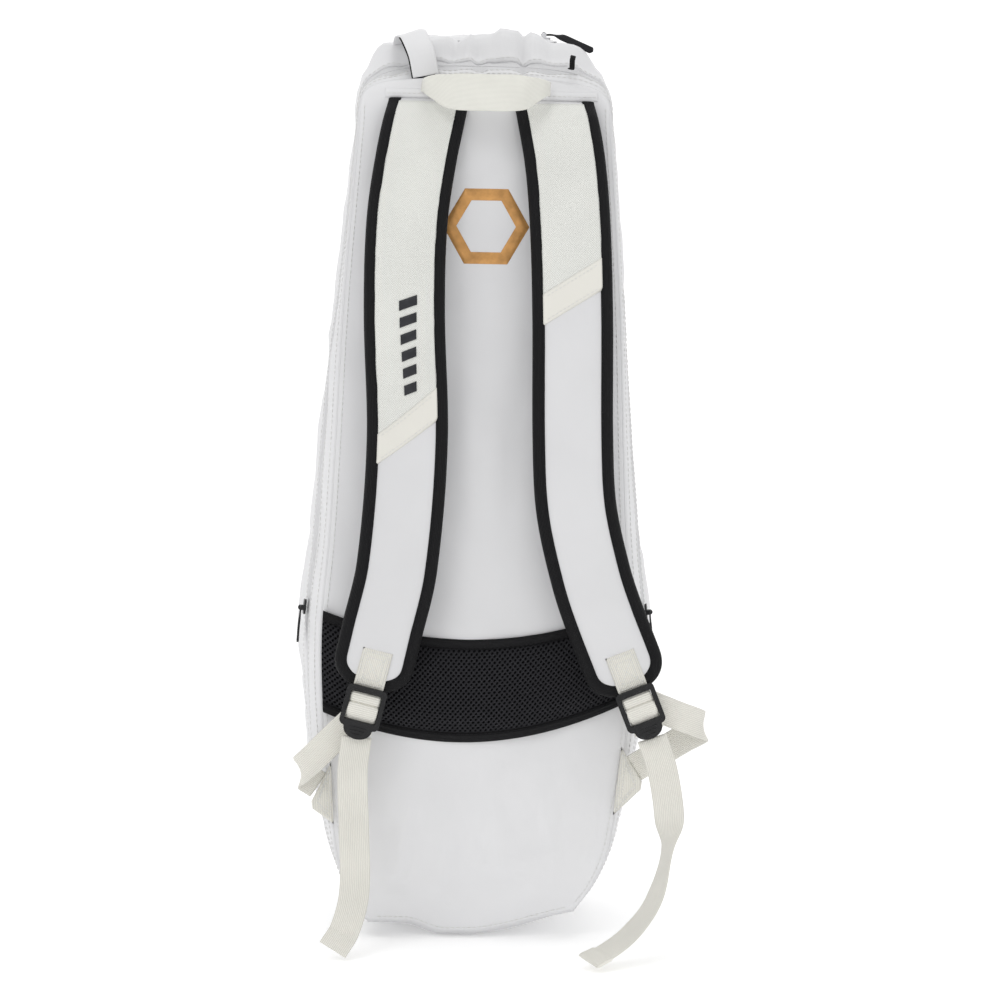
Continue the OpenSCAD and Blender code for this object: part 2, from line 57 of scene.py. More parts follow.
SHOULDER_Z = 695  # the straight walls end here
DOME_H = 76  # rise of the gusset's middle line over the top
SEAM_RISE = 35  # rise of the seam lines over the top
LID_Z = 270  # the lid's hinge line
FLOOR_Z = 3.4
SEAM_Z = SHOULDER_Z + 17  # where the straps are sewn in
PANEL_TOP_Z = SHOULDER_Z + 0.985 * SEAM_RISE
PANEL_CROWN = 6
FRONT_CROWN = 16
SHELL_T = 2.2
ZIP_A = 0.13  # depth fractions from back to front: the rear cloth's edge,
ZIP_B = 0.165  # the middle of the zip
ZIP_C = 0.20  # and the lid cloth's edge
TOP_SHIFT = 0.1  # the zip runs this much nearer to the back over the top
WALL_DEPTH = 210
OUTLINE_STEP = 5.0
SEAM_SINK = 1.5
RIGHT_LIFT = 21  # how far the filled bag's lower corners rise from the floor
LEFT_LIFT = 9
BACK_FOLD = 1.9  # strength of the drawn creases
TOP_FOLD = 1.35
LID_CLOTH = "lid cloth"  # stands for pieces that mount() bakes in place through lid_blend()
BACKWARD = (0, -1, 0)
FINE = 0.32  # radius of fine thread
TAPE_STITCH = (2.8, 3.8, 0.34)  # length, pitch and radius

# half widths and depths up the bag, as [height, value]
MID_TABLE = [[0, 91], [30, 110], [65, 123], [110, 134], [180, 147], [265, 153],
             [340, 146], [420, 138], [540, 125], [695, 110]]
SEAM_TABLE = [[0, 88], [30, 105], [65, 115], [110, 121], [180, 129], [265, 132],
              [340, 126], [420, 122], [540, 117], [695, 106]]
BACK_TABLE = [[0, -84], [30, -100], [80, -110], [200, -114], [600, -114], [695, -110], [731, -104]]
FRONT_TABLE = [[0, 84], [30, 98], [90, 110], [270, 114], [500, 104], [695, 84], [731, 76]]
CROWN_TABLE = [[0, 0], [50, 0.5], [130, 1], [580, 1], [695, 0.35], [731, 0]]


# ---------- small maths ----------

def curve(table, x):
    """Smooth Hermite curve through [position, value or list of values] stations."""
    pos = np.array([row[0] for row in table], float)
    val = np.array([np.atleast_1d(np.array(row[1], float)) for row in table])
    x = np.asarray(x, float)
    i = np.clip(np.searchsorted(pos, x, side="right") - 1, 0, len(pos) - 2)
    below = np.maximum(np.arange(len(pos)) - 1, 0)
    above = np.minimum(np.arange(len(pos)) + 1, len(pos) - 1)
    slope = (val[above] - val[below]) / (pos[above] - pos[below])[:, None]
    h = (pos[i + 1] - pos[i])[..., None]
    s = np.clip((x - pos[i])[..., None] / h, 0, 1)
    out = (2 * s ** 3 - 3 * s ** 2 + 1) * val[i] + (s ** 3 - 2 * s ** 2 + s) * h * slope[i]
    out = out + (3 * s ** 2 - 2 * s ** 3) * val[i + 1] + (s ** 3 - s ** 2) * h * slope[i + 1]
    return out[..., 0] if out.shape[-1] == 1 else out


def lerp(a, b, t):
    """Straight blend from a to b."""
    return a + (b - a) * t


def smooth(lo, hi, x):
    """0 below lo, 1 above hi, smooth in between."""
    t = np.clip((np.asarray(x, float) - lo) / (hi - lo), 0, 1)
    return t * t * (3 - 2 * t)


def unit(v):
    """Directions of length 1."""
    return v / np.maximum(np.linalg.norm(v, axis=-1, keepdims=True), 1e-9)


def signed_pow(v, p):
    """Power of the size of v, with its sign; below 1 it squares off a circle."""
    return np.sign(v) * np.abs(v) ** p


def xyz(x, y, z):
    """Points from three coordinates."""
    return np.stack(np.broadcast_arrays(x, y, z), axis=-1).astype(float)


def pair(a, b):
    """Points or cloth positions from two coordinates."""
    return np.stack(np.broadcast_arrays(a, b), axis=-1)


def turns(count):
    """Equal angles round a circle, from 0."""
    return np.arange(count) / count * 2 * math.pi


def turned(side, face, angle):
    """Two crossing directions turned together by an angle in radians."""
    c, s = np.cos(angle), np.sin(angle)
    return c * side + s * face, c * face - s * side


def node_box(node):
    """Lower and upper corner of a CAD node in millimetres."""
    return [np.array(corner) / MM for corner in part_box(node)]


def put(points, place):
    """Points of a local frame whose rotation and origin are given."""
    return points @ place[0].T + place[1]


def run_along(points):
    """Distance along a line of points, from its first point to each."""
    step = np.linalg.norm(np.diff(points, axis=0), axis=-1)
    return np.concatenate([[0], np.cumsum(step)])


def noise(p, scale, seed, stretch=(1, 1, 1)):
    """Smooth random waves of about that length over points p, from -1 to 1."""
    rng = np.random.default_rng(seed)
    total = np.zeros(p.shape[:-1])
    for _ in range(9):
        wave = unit(rng.normal(size=3)) * rng.uniform(0.6, 1.5) / np.array(stretch)
        total += np.sin(p @ wave * (2 * math.pi / scale) + rng.uniform(0, 2 * math.pi))
    return total / 4.5


def crease(x, z, start, end, width):
    """A ridge that follows the line from start to end, fading at both ends."""
    a = np.array(start, float)
    d = np.array(end, float) - a
    length = np.hypot(*d)
    along = ((x - a[0]) * d[0] + (z - a[1]) * d[1]) / length ** 2
    off = ((x - a[0]) * d[1] - (z - a[1]) * d[0]) / length
    fade = smooth(-0.15, 0.3, along) * smooth(1.15, 0.7, along)
    return np.exp(-(off / width) ** 2) * fade


def folds(table, x, z):
    """Sum of the creases of a table of [start, end, width, height] rows."""
    return sum(height * crease(x, z, start, end, width) for start, end, width, height in table)


def grid_normals(p):
    """Unit normals of a grid of points: rows run up, columns run across."""
    across = np.gradient(p, axis=1)
    up = np.gradient(p, axis=0)
    return unit(np.cross(across, up))


# ---------- meshes ----------

def add_object(name, data):
    """Object in the scene from its data."""
    obj = bpy.data.objects.new(name, data)
    bpy.context.scene.collection.objects.link(obj)
    return obj


def build(name, verts, faces, uv, mats, face_mats=None, flat=False):
    """Mesh object from millimetre points. uv gives one pair for each vertex, in millimetres."""
    mesh = bpy.data.meshes.new(name)
    mesh.from_pydata((np.asarray(verts) * MM).tolist(), [], [tuple(map(int, f)) for f in faces])
    if uv is not None:
        layer = mesh.uv_layers.new(name="cloth_mm")
        loops = np.zeros(len(mesh.loops), int)
        mesh.loops.foreach_get("vertex_index", loops)
        layer.data.foreach_set("uv", np.asarray(uv, np.float32)[loops].ravel())
    for mat in mats:
        mesh.materials.append(mat)
    if face_mats is not None:
        mesh.polygons.foreach_set("material_index", np.asarray(face_mats, np.int32))
    mesh.polygons.foreach_set("use_smooth", [not flat] * len(mesh.polygons))
    mesh.update()
    mesh.validate()
    return add_object(name, mesh)


def grid_faces(rows, cols, start=0, closed=False):
    """Quads of a grid whose vertices run along its rows."""
    i = np.arange(cols if closed else cols - 1)
    j = np.arange(rows - 1)[:, None]
    a = start + j * cols + i
    b = start + j * cols + (i + 1) % cols
    return np.stack([a, b, b + cols, a + cols], axis=-1).reshape(-1, 4)


def slab(name, outer, uv, thickness, mats, inner=None):
    """Closed sheet: outer is a grid of points seen from outside, the inside has the second material."""
    rows, cols = outer.shape[:2]
    if inner is None:
        inner = outer - grid_normals(outer) * thickness
    n = rows * cols
    front = grid_faces(rows, cols)
    back = front[:, ::-1] + n
    rim = list(range(cols)) + [j * cols + cols - 1 for j in range(1, rows)]
    rim += [(rows - 1) * cols + i for i in range(cols - 2, -1, -1)]
    rim += [j * cols for j in range(rows - 2, 0, -1)]
    rim = np.array(rim)
    after = np.roll(rim, -1)
    side = np.stack([rim, rim + n, after + n, after], axis=-1)
    faces = np.concatenate([front, back, side])
    face_mats = [0] * len(front) + [len(mats) - 1] * len(back) + [0] * len(side)
    verts = np.concatenate([outer.reshape(-1, 3), inner.reshape(-1, 3)])
    uvs = np.concatenate([uv.reshape(-1, 2)] * 2)
    return build(name, verts, faces, uvs, mats, face_mats)


def tube(name, rings, mats, uv=None, looped=False):
    """Closed skin through rings of points."""
    rows, cols = rings.shape[:2]
    faces = grid_faces(rows, cols, closed=True).tolist()
    if looped:
        last = (rows - 1) * cols
        faces += [[last + i, last + (i + 1) % cols, (i + 1) % cols, i] for i in range(cols)]
    else:
        faces.append(list(range(cols))[::-1])
        faces.append([(rows - 1) * cols + i for i in range(cols)])
    return build(name, rings.reshape(-1, 3), faces, None if uv is None else uv.reshape(-1, 2), mats)


def stitches(name, path, normal, mat, length=3.2, pitch=4.6, radius=0.42):
    """A run of thread stitches along path, each a small rounded bar lying on the cloth."""
    path = np.asarray(path, float)
    normal = np.broadcast_to(normal, path.shape)
    dist = run_along(path)
    starts = np.arange(pitch / 2, dist[-1] - length, pitch)
    if len(starts) == 0:
        return None
    share = np.array([0, 0.18, 0.5, 0.82, 1])
    swell = np.array([0.35, 0.85, 1, 0.85, 0.35])
    at = starts[:, None] + share * length
    point = np.stack([np.interp(at, dist, path[:, k]) for k in range(3)], axis=-1)
    up = unit(np.stack([np.interp(at, dist, normal[:, k]) for k in range(3)], axis=-1))
    along = unit(point[:, -1:] - point[:, :1])
    side = unit(np.cross(up, along))
    verts = []
    for turn in np.arange(6) * math.pi / 3:
        r = radius * swell[None, :, None]
        verts.append(point + r * (math.cos(turn) * side + math.sin(turn) * up * 0.8))
    verts = np.stack(verts, axis=2)
    n, rows, cols = verts.shape[:3]
    one = grid_faces(rows, cols, closed=True)
    faces = [one + k * rows * cols for k in range(n)]
    caps = [list(range(cols))[::-1], [(rows - 1) * cols + i for i in range(cols)]]
    faces = np.concatenate(faces).tolist()
    faces += [[v + k * rows * cols for v in c] for k in range(n) for c in caps]
    return build(name, verts.reshape(-1, 3), faces, None, [mat])


def join(name, objs):
    """One object from several, under a new name."""
    objs = [o for o in objs if o is not None]
    verts, faces, uvs, mats, index = [], [], [], [], []
    total = 0
    for o in objs:
        mesh = o.data
        co = np.zeros(len(mesh.vertices) * 3)
        mesh.vertices.foreach_get("co", co)
        co = co.reshape(-1, 3)
        spots = np.zeros((len(co), 2))
        if mesh.uv_layers:
            loops = np.zeros(len(mesh.loops), int)
            mesh.loops.foreach_get("vertex_index", loops)
            flat = np.zeros(len(mesh.loops) * 2)
            mesh.uv_layers[0].data.foreach_get("uv", flat)
            spots[loops] = flat.reshape(-1, 2)
        verts.append(co / MM)
        uvs.append(spots)
        for poly in mesh.polygons:
            faces.append([v + total for v in poly.vertices])
            mat = mesh.materials[poly.material_index]
            if mat not in mats:
                mats.append(mat)
            index.append(mats.index(mat))
        total += len(co)
        bpy.data.objects.remove(o)
    return build(name, np.concatenate(verts), faces, np.concatenate(uvs), mats, index)


# ---------- materials ----------

class Nodes:
    """Short way to write a node material."""

    def __init__(self, name, color, roughness, **sockets):
        self.mat = bpy.data.materials.new(name)
        self.mat.use_nodes = True
        self.mat.diffuse_color = (*color, 1)
        self.tree = self.mat.node_tree
        self.shader = self.tree.nodes["Principled BSDF"]
        self.shader.inputs["Roughness"].default_value = roughness
        for key, value in sockets.items():
            self.shader.inputs[key.replace("_", " ")].default_value = value
        self.coord = self.tree.nodes.new("ShaderNodeTexCoord")

    def add(self, kind, links=(), **values):
        """New node: values go to sockets or settings, links are (socket, source) pairs."""
        node = self.tree.nodes.new(kind)
        for key, value in values.items():
            if key in node.inputs:
                node.inputs[key].default_value = value
            else:
                setattr(node, key, value)
        for socket, source in links:
            self.tree.links.new(source, node.inputs[socket])
        return node

    def place(self, turn=0, uv=True):
        """Cloth position in millimetres, or the position in the frame in metres."""
        source = self.coord.outputs["UV" if uv else "Object"]
        node = self.add("ShaderNodeMapping", [("Vector", source)])
        node.inputs["Rotation"].default_value = (0, 0, turn)
        return node.outputs["Vector"]

    def noise(self, scale, detail):
        """Noise through the frame's space, scale waves to the metre."""
        vector = self.place(uv=False)
        node = self.add("ShaderNodeTexNoise", [("Vector", vector)], Scale=scale, Detail=detail)
        return node.outputs["Fac"]

    def wave(self, pitch, axis, turn, distortion):
        """Ridges across the cloth, pitch millimetres apart."""
        vector = self.place(turn=turn)
        node = self.add("ShaderNodeTexWave", [("Vector", vector)], Scale=math.pi / 10 / pitch,
                        Distortion=distortion, bands_direction=axis)
        return node.outputs["Fac"]

    def math(self, operation, *values):
        """Math node on numbers and outputs."""
        node = self.add("ShaderNodeMath", operation=operation)
        for i, value in enumerate(values):
            if isinstance(value, (int, float)):
                node.inputs[i].default_value = value
            else:
                self.tree.links.new(value, node.inputs[i])
        return node.outputs[0]

    def ramp(self, fac, stops):
        """Colours blended between (position, colour) stops."""
        node = self.add("ShaderNodeValToRGB", [("Fac", fac)])
        while len(node.color_ramp.elements) < len(stops):
            node.color_ramp.elements.new(0.5)
        for element, (place, color) in zip(node.color_ramp.elements, stops):
            element.position = place
            element.color = (*color, 1)
        return node.outputs["Color"]

    def finish(self, color=None, rough=None, heights=()):
        """Links colour, roughness and a chain of bumps given as (height, strength, distance)."""
        if color is not None:
            self.tree.links.new(color, self.shader.inputs["Base Color"])
        if rough is not None:
            self.tree.links.new(rough, self.shader.inputs["Roughness"])
        last = None
        for height, strength, distance in heights:
            bump = self.add("ShaderNodeBump", [("Height", height)], Strength=strength, Distance=distance)
            if last is not None:
                self.tree.links.new(last, bump.inputs["Normal"])
            last = bump.outputs["Normal"]
        if last is not None:
            self.tree.links.new(last, self.shader.inputs["Normal"])
        return self.mat


def tint(color, factor):
    """Colour made darker or lighter by a factor."""
    return tuple(min(1.0, c * factor) for c in color)


def coated_fabric(name, color, grain=1400):
    """Coated fabric: a fine leather-like grain, faint tone changes and slightly glossy tops."""
    m = Nodes(name, color, 0.5, Specular_IOR_Level=0.35)
    tone = m.noise(9, 4)
    fine = m.noise(grain, 2)
    pebble = m.add("ShaderNodeTexVoronoi", [("Vector", m.place(uv=False))], Scale=grain * 0.8)
    colors = m.ramp(tone, [(0.3, tint(color, 0.955)), (0.7, tint(color, 1.02))])
    rough = m.math("MULTIPLY_ADD", fine, 0.16, 0.44)
    heights = [(pebble.outputs["Distance"], 0.14, 0.0002), (m.noise(60, 3), 0.1, 0.0006)]
    return m.finish(colors, rough, heights)


def cloth_nodes(name, color, roughness, sheen):
    """Base of a yarn cloth: black yarns carry no sheen and little gloss."""
    dark = max(color) < 0.05
    sheen, gloss = (0.0, 0.2) if dark else (sheen, 0.5)
    return Nodes(name, color, roughness, Sheen_Weight=sheen, Specular_IOR_Level=gloss)


def woven_fabric(name, color, pitch, strength=0.4, turn=0.0, gloss=0.6):
    """Plain weave: two sets of crossing yarns, with slubs and tone changes."""
    m = cloth_nodes(name, color, gloss, 0.12)
    warp = m.wave(pitch, "X", turn, 0.4)
    weft = m.wave(pitch, "Y", turn, 0.4)
    weave = m.math("MAXIMUM", warp, weft)
    # colour: random tone plus painted shade from the weave, darker between the yarns and lighter on their
    # tops
    tone = m.math("ADD", m.math("MULTIPLY", m.noise(14, 4), 0.6), m.math("MULTIPLY", weave, 0.4))
    colors = m.ramp(tone, [(0.3, tint(color, 0.88)), (0.75, tint(color, 1.04))])
    rough = m.math("MULTIPLY_ADD", weave, -0.18, gloss + 0.16)
    return m.finish(colors, rough, [(weave, strength, 0.0004), (m.noise(700, 2), 0.12, 0.0003)])


def webbing_fabric(name, color, rib=1.5, strength=0.55):
    """Narrow webbing: fine ribs along its length and short cross yarns, with painted shade in the rib
    valleys and painted light on the rib tops.
    """
    m = cloth_nodes(name, color, 0.62, 0.15)
    ribs = m.wave(rib, "X", 0.0, 0.15)
    yarns = m.wave(1.1, "Y", 0.35, 0.5)
    # colour: random tone plus painted shade from the ribs, darker in the valleys and lighter on the tops
    tone = m.math("ADD", m.math("MULTIPLY", ribs, 0.45), m.math("MULTIPLY", m.noise(30, 5), 0.55))
    colors = m.ramp(tone, [(0.25, tint(color, 0.84)), (0.7, tint(color, 1.03))])
    rough = m.math("MULTIPLY_ADD", yarns, 0.15, 0.55)
    heights = [(ribs, strength, 0.0005), (yarns, strength * 0.6, 0.0003)]
    return m.finish(colors, rough, heights)


def molded(name, color, roughness, metallic=0.0, grain=2200):
    """Moulded plastic or plated metal: fine surface grain, rubbed patches of higher gloss."""
    m = Nodes(name, color, roughness, Metallic=metallic, Specular_IOR_Level=0.32)
    rub = m.noise(120, 5)
    colors = m.ramp(rub, [(0.35, tint(color, 0.85)), (0.75, tint(color, 1.35))])
    rough = m.math("MULTIPLY_ADD", rub, -0.22, roughness + 0.12)
    return m.finish(colors, rough, [(m.noise(grain, 3), 0.12, 0.0001)])


GREY = (0.745, 0.745, 0.755)
CREAM = (0.80, 0.785, 0.72)
BLACK = (0.007, 0.007, 0.008)
BODY = coated_fabric("coated_fabric", GREY)
STRAP_CLOTH = coated_fabric("strap_coated_fabric", (0.70, 0.70, 0.71), 1700)
LINING = woven_fabric("lining_fabric", (0.25, 0.25, 0.26), 1.2)
OVERLAY = woven_fabric("overlay_fabric", (0.80, 0.805, 0.765), 1.4, 0.9, 0.78)
BAND = coated_fabric("smooth_overlay_band", (0.77, 0.755, 0.70), 1800)
WEBBING = webbing_fabric("cream_webbing", CREAM)
HANDLE_CLOTH = webbing_fabric("handle_webbing", (0.79, 0.785, 0.725), 1.0, 0.1)
BINDING = webbing_fabric("black_binding", BLACK, 1.3, 0.8)
ZIP_TAPE = woven_fabric("zip_tape", (0.66, 0.66, 0.67), 0.9)
BLACK_ZIP = woven_fabric("black_zip_tape", BLACK, 0.9)
MESH = woven_fabric("spacer_mesh", (0.02, 0.02, 0.023), 0.8, 0.6, 0.6, 0.7)
# near-black copy of the mesh material: painted shade at the bottoms of the mesh's holes
MESH_HOLE_SHADE = woven_fabric("mesh_hole_shade", (0.002, 0.002, 0.003), 0.8, 0.2, 0.0, 0.95)
THREAD = woven_fabric("light_thread", (0.80, 0.80, 0.78), 0.5)
BLACK_THREAD = woven_fabric("black_thread", (0.013, 0.013, 0.015), 0.5)
PLASTIC = molded("black_plastic", (0.007, 0.007, 0.008), 0.2)
BLACK_METAL = molded("black_metal", (0.03, 0.03, 0.032), 0.3, 0.6)
SILVER = molded("silver_metal", (0.62, 0.62, 0.64), 0.28, 1.0)
BRONZE = molded("bronze_print", (0.52, 0.27, 0.09), 0.36, 0.35, 3000)
DARK_PRINT = molded("dark_print", (0.022, 0.023, 0.027), 0.42)
FOAM = woven_fabric("foam", (0.5, 0.5, 0.52), 2.2)
BOARD = molded("board", (0.04, 0.04, 0.042), 0.6)


# ---------- the shell of the bag ----------

BACK_CREASES = [  # start, end, width, height; x and z on the back, in millimetres
    [(-68, 30), (-52, 125), 7, 1.5], [(-30, 22), (-20, 110), 9, 1.2], [(30, 28), (18, 120), 9, 1.1],
    [(72, 40), (60, 140), 8, 1.5], [(96, 60), (92, 150), 7, -1.4], [(-86, 42), (60, 46), 6, -2.4],
    [(-20, 62), (88, 74), 8, 1.0], [(4, 300), (-6, 470), 16, 1.0], [(-22, 430), (-16, 600), 13, -1.2],
    [(24, 330), (32, 500), 12, -1.0], [(-30, 640), (22, 655), 9, -0.8],
]
WALL_CREASES = [  # start, end, width, height; y and z on both walls
    [(-60, 330), (40, 380), 7, -2.4], [(-70, 180), (60, 230), 8, -2.2], [(-20, 440), (50, 560), 8, -2.0],
    [(-66, 520), (10, 500), 6, 1.8], [(-50, 80), (70, 120), 8, -2.2], [(0, 600), (60, 660), 7, -2.0],
    [(-74, 270), (-30, 262), 5, -2.2], [(20, 270), (70, 300), 6, 1.8],
]
TOP_CREASES = [  # start, end, width, height; x and z over the top
    [(-4, 726), (-6, 762), 3.2, -5.0], [(30, 730), (34, 768), 3.6, -4.5], [(0, 746), (28, 743), 4.0, -3.4],
    [(30, 744), (66, 738), 4.0, -3.0], [(-28, 752), (-12, 770), 4.0, -3.6],
    [(-40, 738), (-24, 758), 4.5, -2.4], [(50, 748), (60, 768), 4.0, -3.0],
    [(-84, 722), (-66, 752), 5.0, -2.4], [(14, 752), (12, 772), 5.0, 3.0],
    [(82, 722), (72, 748), 4.5, 2.0], [(-60, 728), (60, 731), 5.0, 1.6], [(38, 756), (40, 774), 5.5, 3.6],
]


def seam_half(z):
    """Half width of the seam outline at height z, over the shoulder too."""
    rise = np.clip((np.asarray(z, float) - SHOULDER_Z) / SEAM_RISE, 0, 0.9999)
    wide = curve(SEAM_TABLE, np.minimum(z, SHOULDER_Z))
    return wide * (1 - rise ** 4) ** 0.25


def swell(t):
    """How far the gusset has swung from its seam line to its middle line, at depth fraction t."""
    return np.sin(np.pi * np.clip(t, 0, 1)) ** 0.7


def settle(p):
    """The filled bag settles on its base: the lower corners lift and the walls lean a little."""
    x, y, z = p[..., 0], p[..., 1], p[..., 2]
    low = smooth(150, 0, z)
    lift = RIGHT_LIFT * smooth(-6, 108, x) + LEFT_LIFT * smooth(-24, -58, x)
    tuck = 1 - 0.02 * smooth(70, 0, z)
    return xyz(x * tuck, y, z + lift * low)


def back_relief(x, z):
    """How far the cloth of the back stands out from its smooth shape."""
    p = xyz(x, 0 * x, z)
    u = np.clip(np.abs(x) / np.maximum(seam_half(z), 1), 0, 1)
    free = smooth(1.0, 0.82, u) * smooth(0, 26, z)
    out = 2.0 * noise(p, 150, 3, (1, 1, 2)) + 1.1 * noise(p, 55, 4, (0.8, 1, 1.6))
    out = out + 0.3 * noise(p, 20, 5, (1, 1, 1.3))
    out = out * (0.8 + 1.0 * smooth(240, 60, z)) + 1.0
    out = out + BACK_FOLD * folds(BACK_CREASES, x, z)
    dimple = np.exp(-((x - 67) ** 2 + (z - 97) ** 2) / 14)
    edge = smooth(0.955, 1.0, u)
    out = np.maximum(out * free, -1.6 + 0.15 * out)
    return out - 1.4 * dimple - 1.5 * edge


def panel_point(x, z, table, crown, relief, lift):
    """Point on a crowned panel; a crown below 0 makes it the back, which faces towards -Y."""
    x, z = np.broadcast_arrays(np.asarray(x, float), np.asarray(z, float))
    u = x / np.maximum(seam_half(z), 1)
    y = curve(table, z) + crown * curve(CROWN_TABLE, z) * (1 - u ** 2)
    return settle(xyz(x, y + np.sign(crown) * (relief(x, z) + lift), z))


def back_point(x, z, lift=0.0):
    """Point on the cloth of the back, lift millimetres out."""
    return panel_point(x, z, BACK_TABLE, -PANEL_CROWN, back_relief, lift)


def front_relief(x, z):
    """How far the cloth of the front stands out from its smooth shape."""
    p = xyz(x, 0 * x + 300, z)
    u = np.clip(np.abs(x) / np.maximum(seam_half(z), 1), 0, 1)
    out = 3.0 * noise(p, 170, 11, (1, 1, 1.6)) + 1.6 * noise(p, 60, 12, (0.8, 1, 1.5))
    out = out + 0.35 * noise(p, 20, 13, (1, 1, 1.3))
    return out * smooth(1.0, 0.8, u) * smooth(0, 26, z) - 1.5 * smooth(0.955, 1.0, u)


def front_point(x, z, lift=0.0):
    """Point on the cloth of the front, lift millimetres out."""
    return panel_point(x, z, FRONT_TABLE, FRONT_CROWN, front_relief, lift)


def panel_rows(count):
    """Heights from the base to the top of a panel, closer together towards the rounded top."""
    v = np.linspace(0, 1, count)
    return lerp(FLOOR_Z, PANEL_TOP_Z, 1 - (1 - v) ** 1.6)


def wall_outline():
    """Stations up the left wall, over the top and down the right: seam and middle (x, z), and run."""
    up = np.linspace(FLOOR_Z, SHOULDER_Z, int((SHOULDER_Z - FLOOR_Z) / OUTLINE_STEP) + 1)
    seam_w, mid_w = curve(SEAM_TABLE, SHOULDER_Z), curve(MID_TABLE, SHOULDER_Z)

    def arch(w, h, power, angle):
        c, s = np.cos(angle), np.sin(angle)
        r = (np.abs(c) ** power + np.abs(s) ** power) ** (-1 / power)
        return pair(w * r * c, SHOULDER_Z + h * r * s)

    fine = np.linspace(math.pi, 0, 1200)
    mid = arch(mid_w, DOME_H, 3, fine)
    run = run_along(mid)
    angle = np.interp(np.linspace(0, run[-1], int(run[-1] / OUTLINE_STEP) + 1), run, fine)[1:-1]
    left = [pair(-curve(t, up), up) for t in (SEAM_TABLE, MID_TABLE)]
    right = [pair(curve(t, up[::-1]), up[::-1]) for t in (SEAM_TABLE, MID_TABLE)]
    seam = np.concatenate([left[0], arch(seam_w, SEAM_RISE, 4, angle), right[0]])
    middle = np.concatenate([left[1], arch(mid_w, DOME_H, 3, angle), right[1]])
    return seam, middle, run_along(middle)


SEAM_XZ, MID_XZ, RUN = wall_outline()


def wall_base(t):
    """Smooth gusset points for a table of depth fractions, one row for each station of the outline."""
    w = swell(t)[..., None]
    xz = lerp(SEAM_XZ[:, None, :], MID_XZ[:, None, :], w)
    depth = lerp(curve(BACK_TABLE, SEAM_XZ[:, 1])[:, None], curve(FRONT_TABLE, SEAM_XZ[:, 1])[:, None], t)
    return xyz(xz[..., 0], depth, xz[..., 1])


def wall_relief(p, t):
    """Folds of the gusset: broad waves on the walls, tight gathers over the top."""
    x, z = p[..., 0], p[..., 2]
    top = smooth(SHOULDER_Z + 8, SHOULDER_Z + 40, z)
    out = 3.0 * noise(p, 150, 21, (1, 0.8, 1.8)) + 1.5 * noise(p, 52, 22, (1, 0.8, 1.5))
    out = out + 0.35 * noise(p, 19, 26, (1, 1, 1.4))
    out = out + folds(WALL_CREASES, p[..., 1], z)
    gather = 1.5 * noise(p, 40, 23, (0.8, 1.8, 1)) + 0.8 * noise(p, 20, 24, (0.8, 2, 1))
    out = out * (1 - 0.5 * top) + gather * top
    over = smooth(SHOULDER_Z + 26, SHOULDER_Z + 52, z) * smooth(104, 80, np.abs(x))
    heap = 12.0 + 2.0 * noise(p, 46, 25) + 7.0 * np.exp(-((x - 32) / 20) ** 2)
    out = out + over * heap * np.exp(-((t - 0.2) / 0.055) ** 2)
    out = out + over * 6.0 * np.exp(-((t - 0.5) / 0.13) ** 2)
    out = out * (1 - 0.75 * over * np.exp(-((t - 0.3) / 0.03) ** 2))
    rear = smooth(0.33, 0.2, t) * top
    return out + TOP_FOLD * rear * folds(TOP_CREASES, x, z)


def wall_points(t):
    """Gusset cloth at depth fractions t, pulled in at both seams and along the zip."""
    base = wall_base(t)
    normal = grid_normals(base)
    if (normal[0, 0] @ (base[0, 0] - [0, 0, base[0, 0, 2]])) < 0:
        normal = -normal
    zip_t = ZIP_B - top_shift()[:, None]
    depth = WALL_DEPTH * np.minimum.reduce([np.abs(t), np.abs(t - 1), np.abs(t - zip_t)])
    reach = lerp(26, 9, smooth(SHOULDER_Z, SHOULDER_Z + 30, base[..., 2]))
    free = smooth(0, 1, depth / reach) * smooth(0, 26, base[..., 2])
    out = wall_relief(base, t) * free - SEAM_SINK * smooth(7, 0, depth)
    return settle(base + normal * out[..., None])


def top_shift():
    """How far the zip runs nearer to the back over the top than on the walls."""
    return TOP_SHIFT * smooth(SHOULDER_Z - 50, SHOULDER_Z + 25, MID_XZ[:, 1])


def lane_edge(t_zip, side):
    """Depth fraction of a cloth edge: at the zip above the lid's hinge, on the middle line below."""
    open_share = smooth(LID_Z - 14, LID_Z + 4, MID_XZ[:, 1])
    return lerp(ZIP_B + side * 0.0015, t_zip, open_share) - top_shift()


def lid_blend(piece):
    """Bakes the piece's transform into its mesh; the lid's cloth is not bent here."""
    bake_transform(piece)


def mount(piece, body, slot, *nodes):
    """Sets what a piece moves with and hides the CAD nodes it stands for; its slot is not used."""
    if body == LID_CLOTH:
        lid_blend(piece)
    else:
        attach(piece, body)
    if nodes:
        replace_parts(piece, *nodes)


def gusset(name, t_from, t_to, cols):
    """Cloth round the bag between two depth fractions."""
    share = np.linspace(0, 1, cols)
    t = lerp(t_from[:, None], t_to[:, None], share[None, :])
    outer = wall_points(t)
    uv = pair(t * WALL_DEPTH, RUN[:, None])
    if np.mean(grid_normals(outer)[:20, :, 0]) > 0:
        outer, uv = outer[:, ::-1], uv[:, ::-1]
    return slab(name, outer, uv, SHELL_T, [BODY, LINING])


def make_gussets():
    """Walls and top of the bag: the rear strip stays on the bag, the rest is baked in place."""
    ones = np.ones(len(RUN))
    rear = gusset("rear_gusset_cloth", 0.0 * ones, lane_edge(ZIP_A, -1), 12)
    front = gusset("front_gusset_cloth", lane_edge(ZIP_C, 1), ones, 44)
    mount(rear, "bag", "coated_fabric", "rear_left_gusset", "rear_right_gusset", "rear_top_gusset")
    mount(front, LID_CLOTH, "coated_fabric", "lower_left_gusset", "lower_right_gusset", "lid_left_gusset",
          "lid_right_gusset", "lid_top_panel")


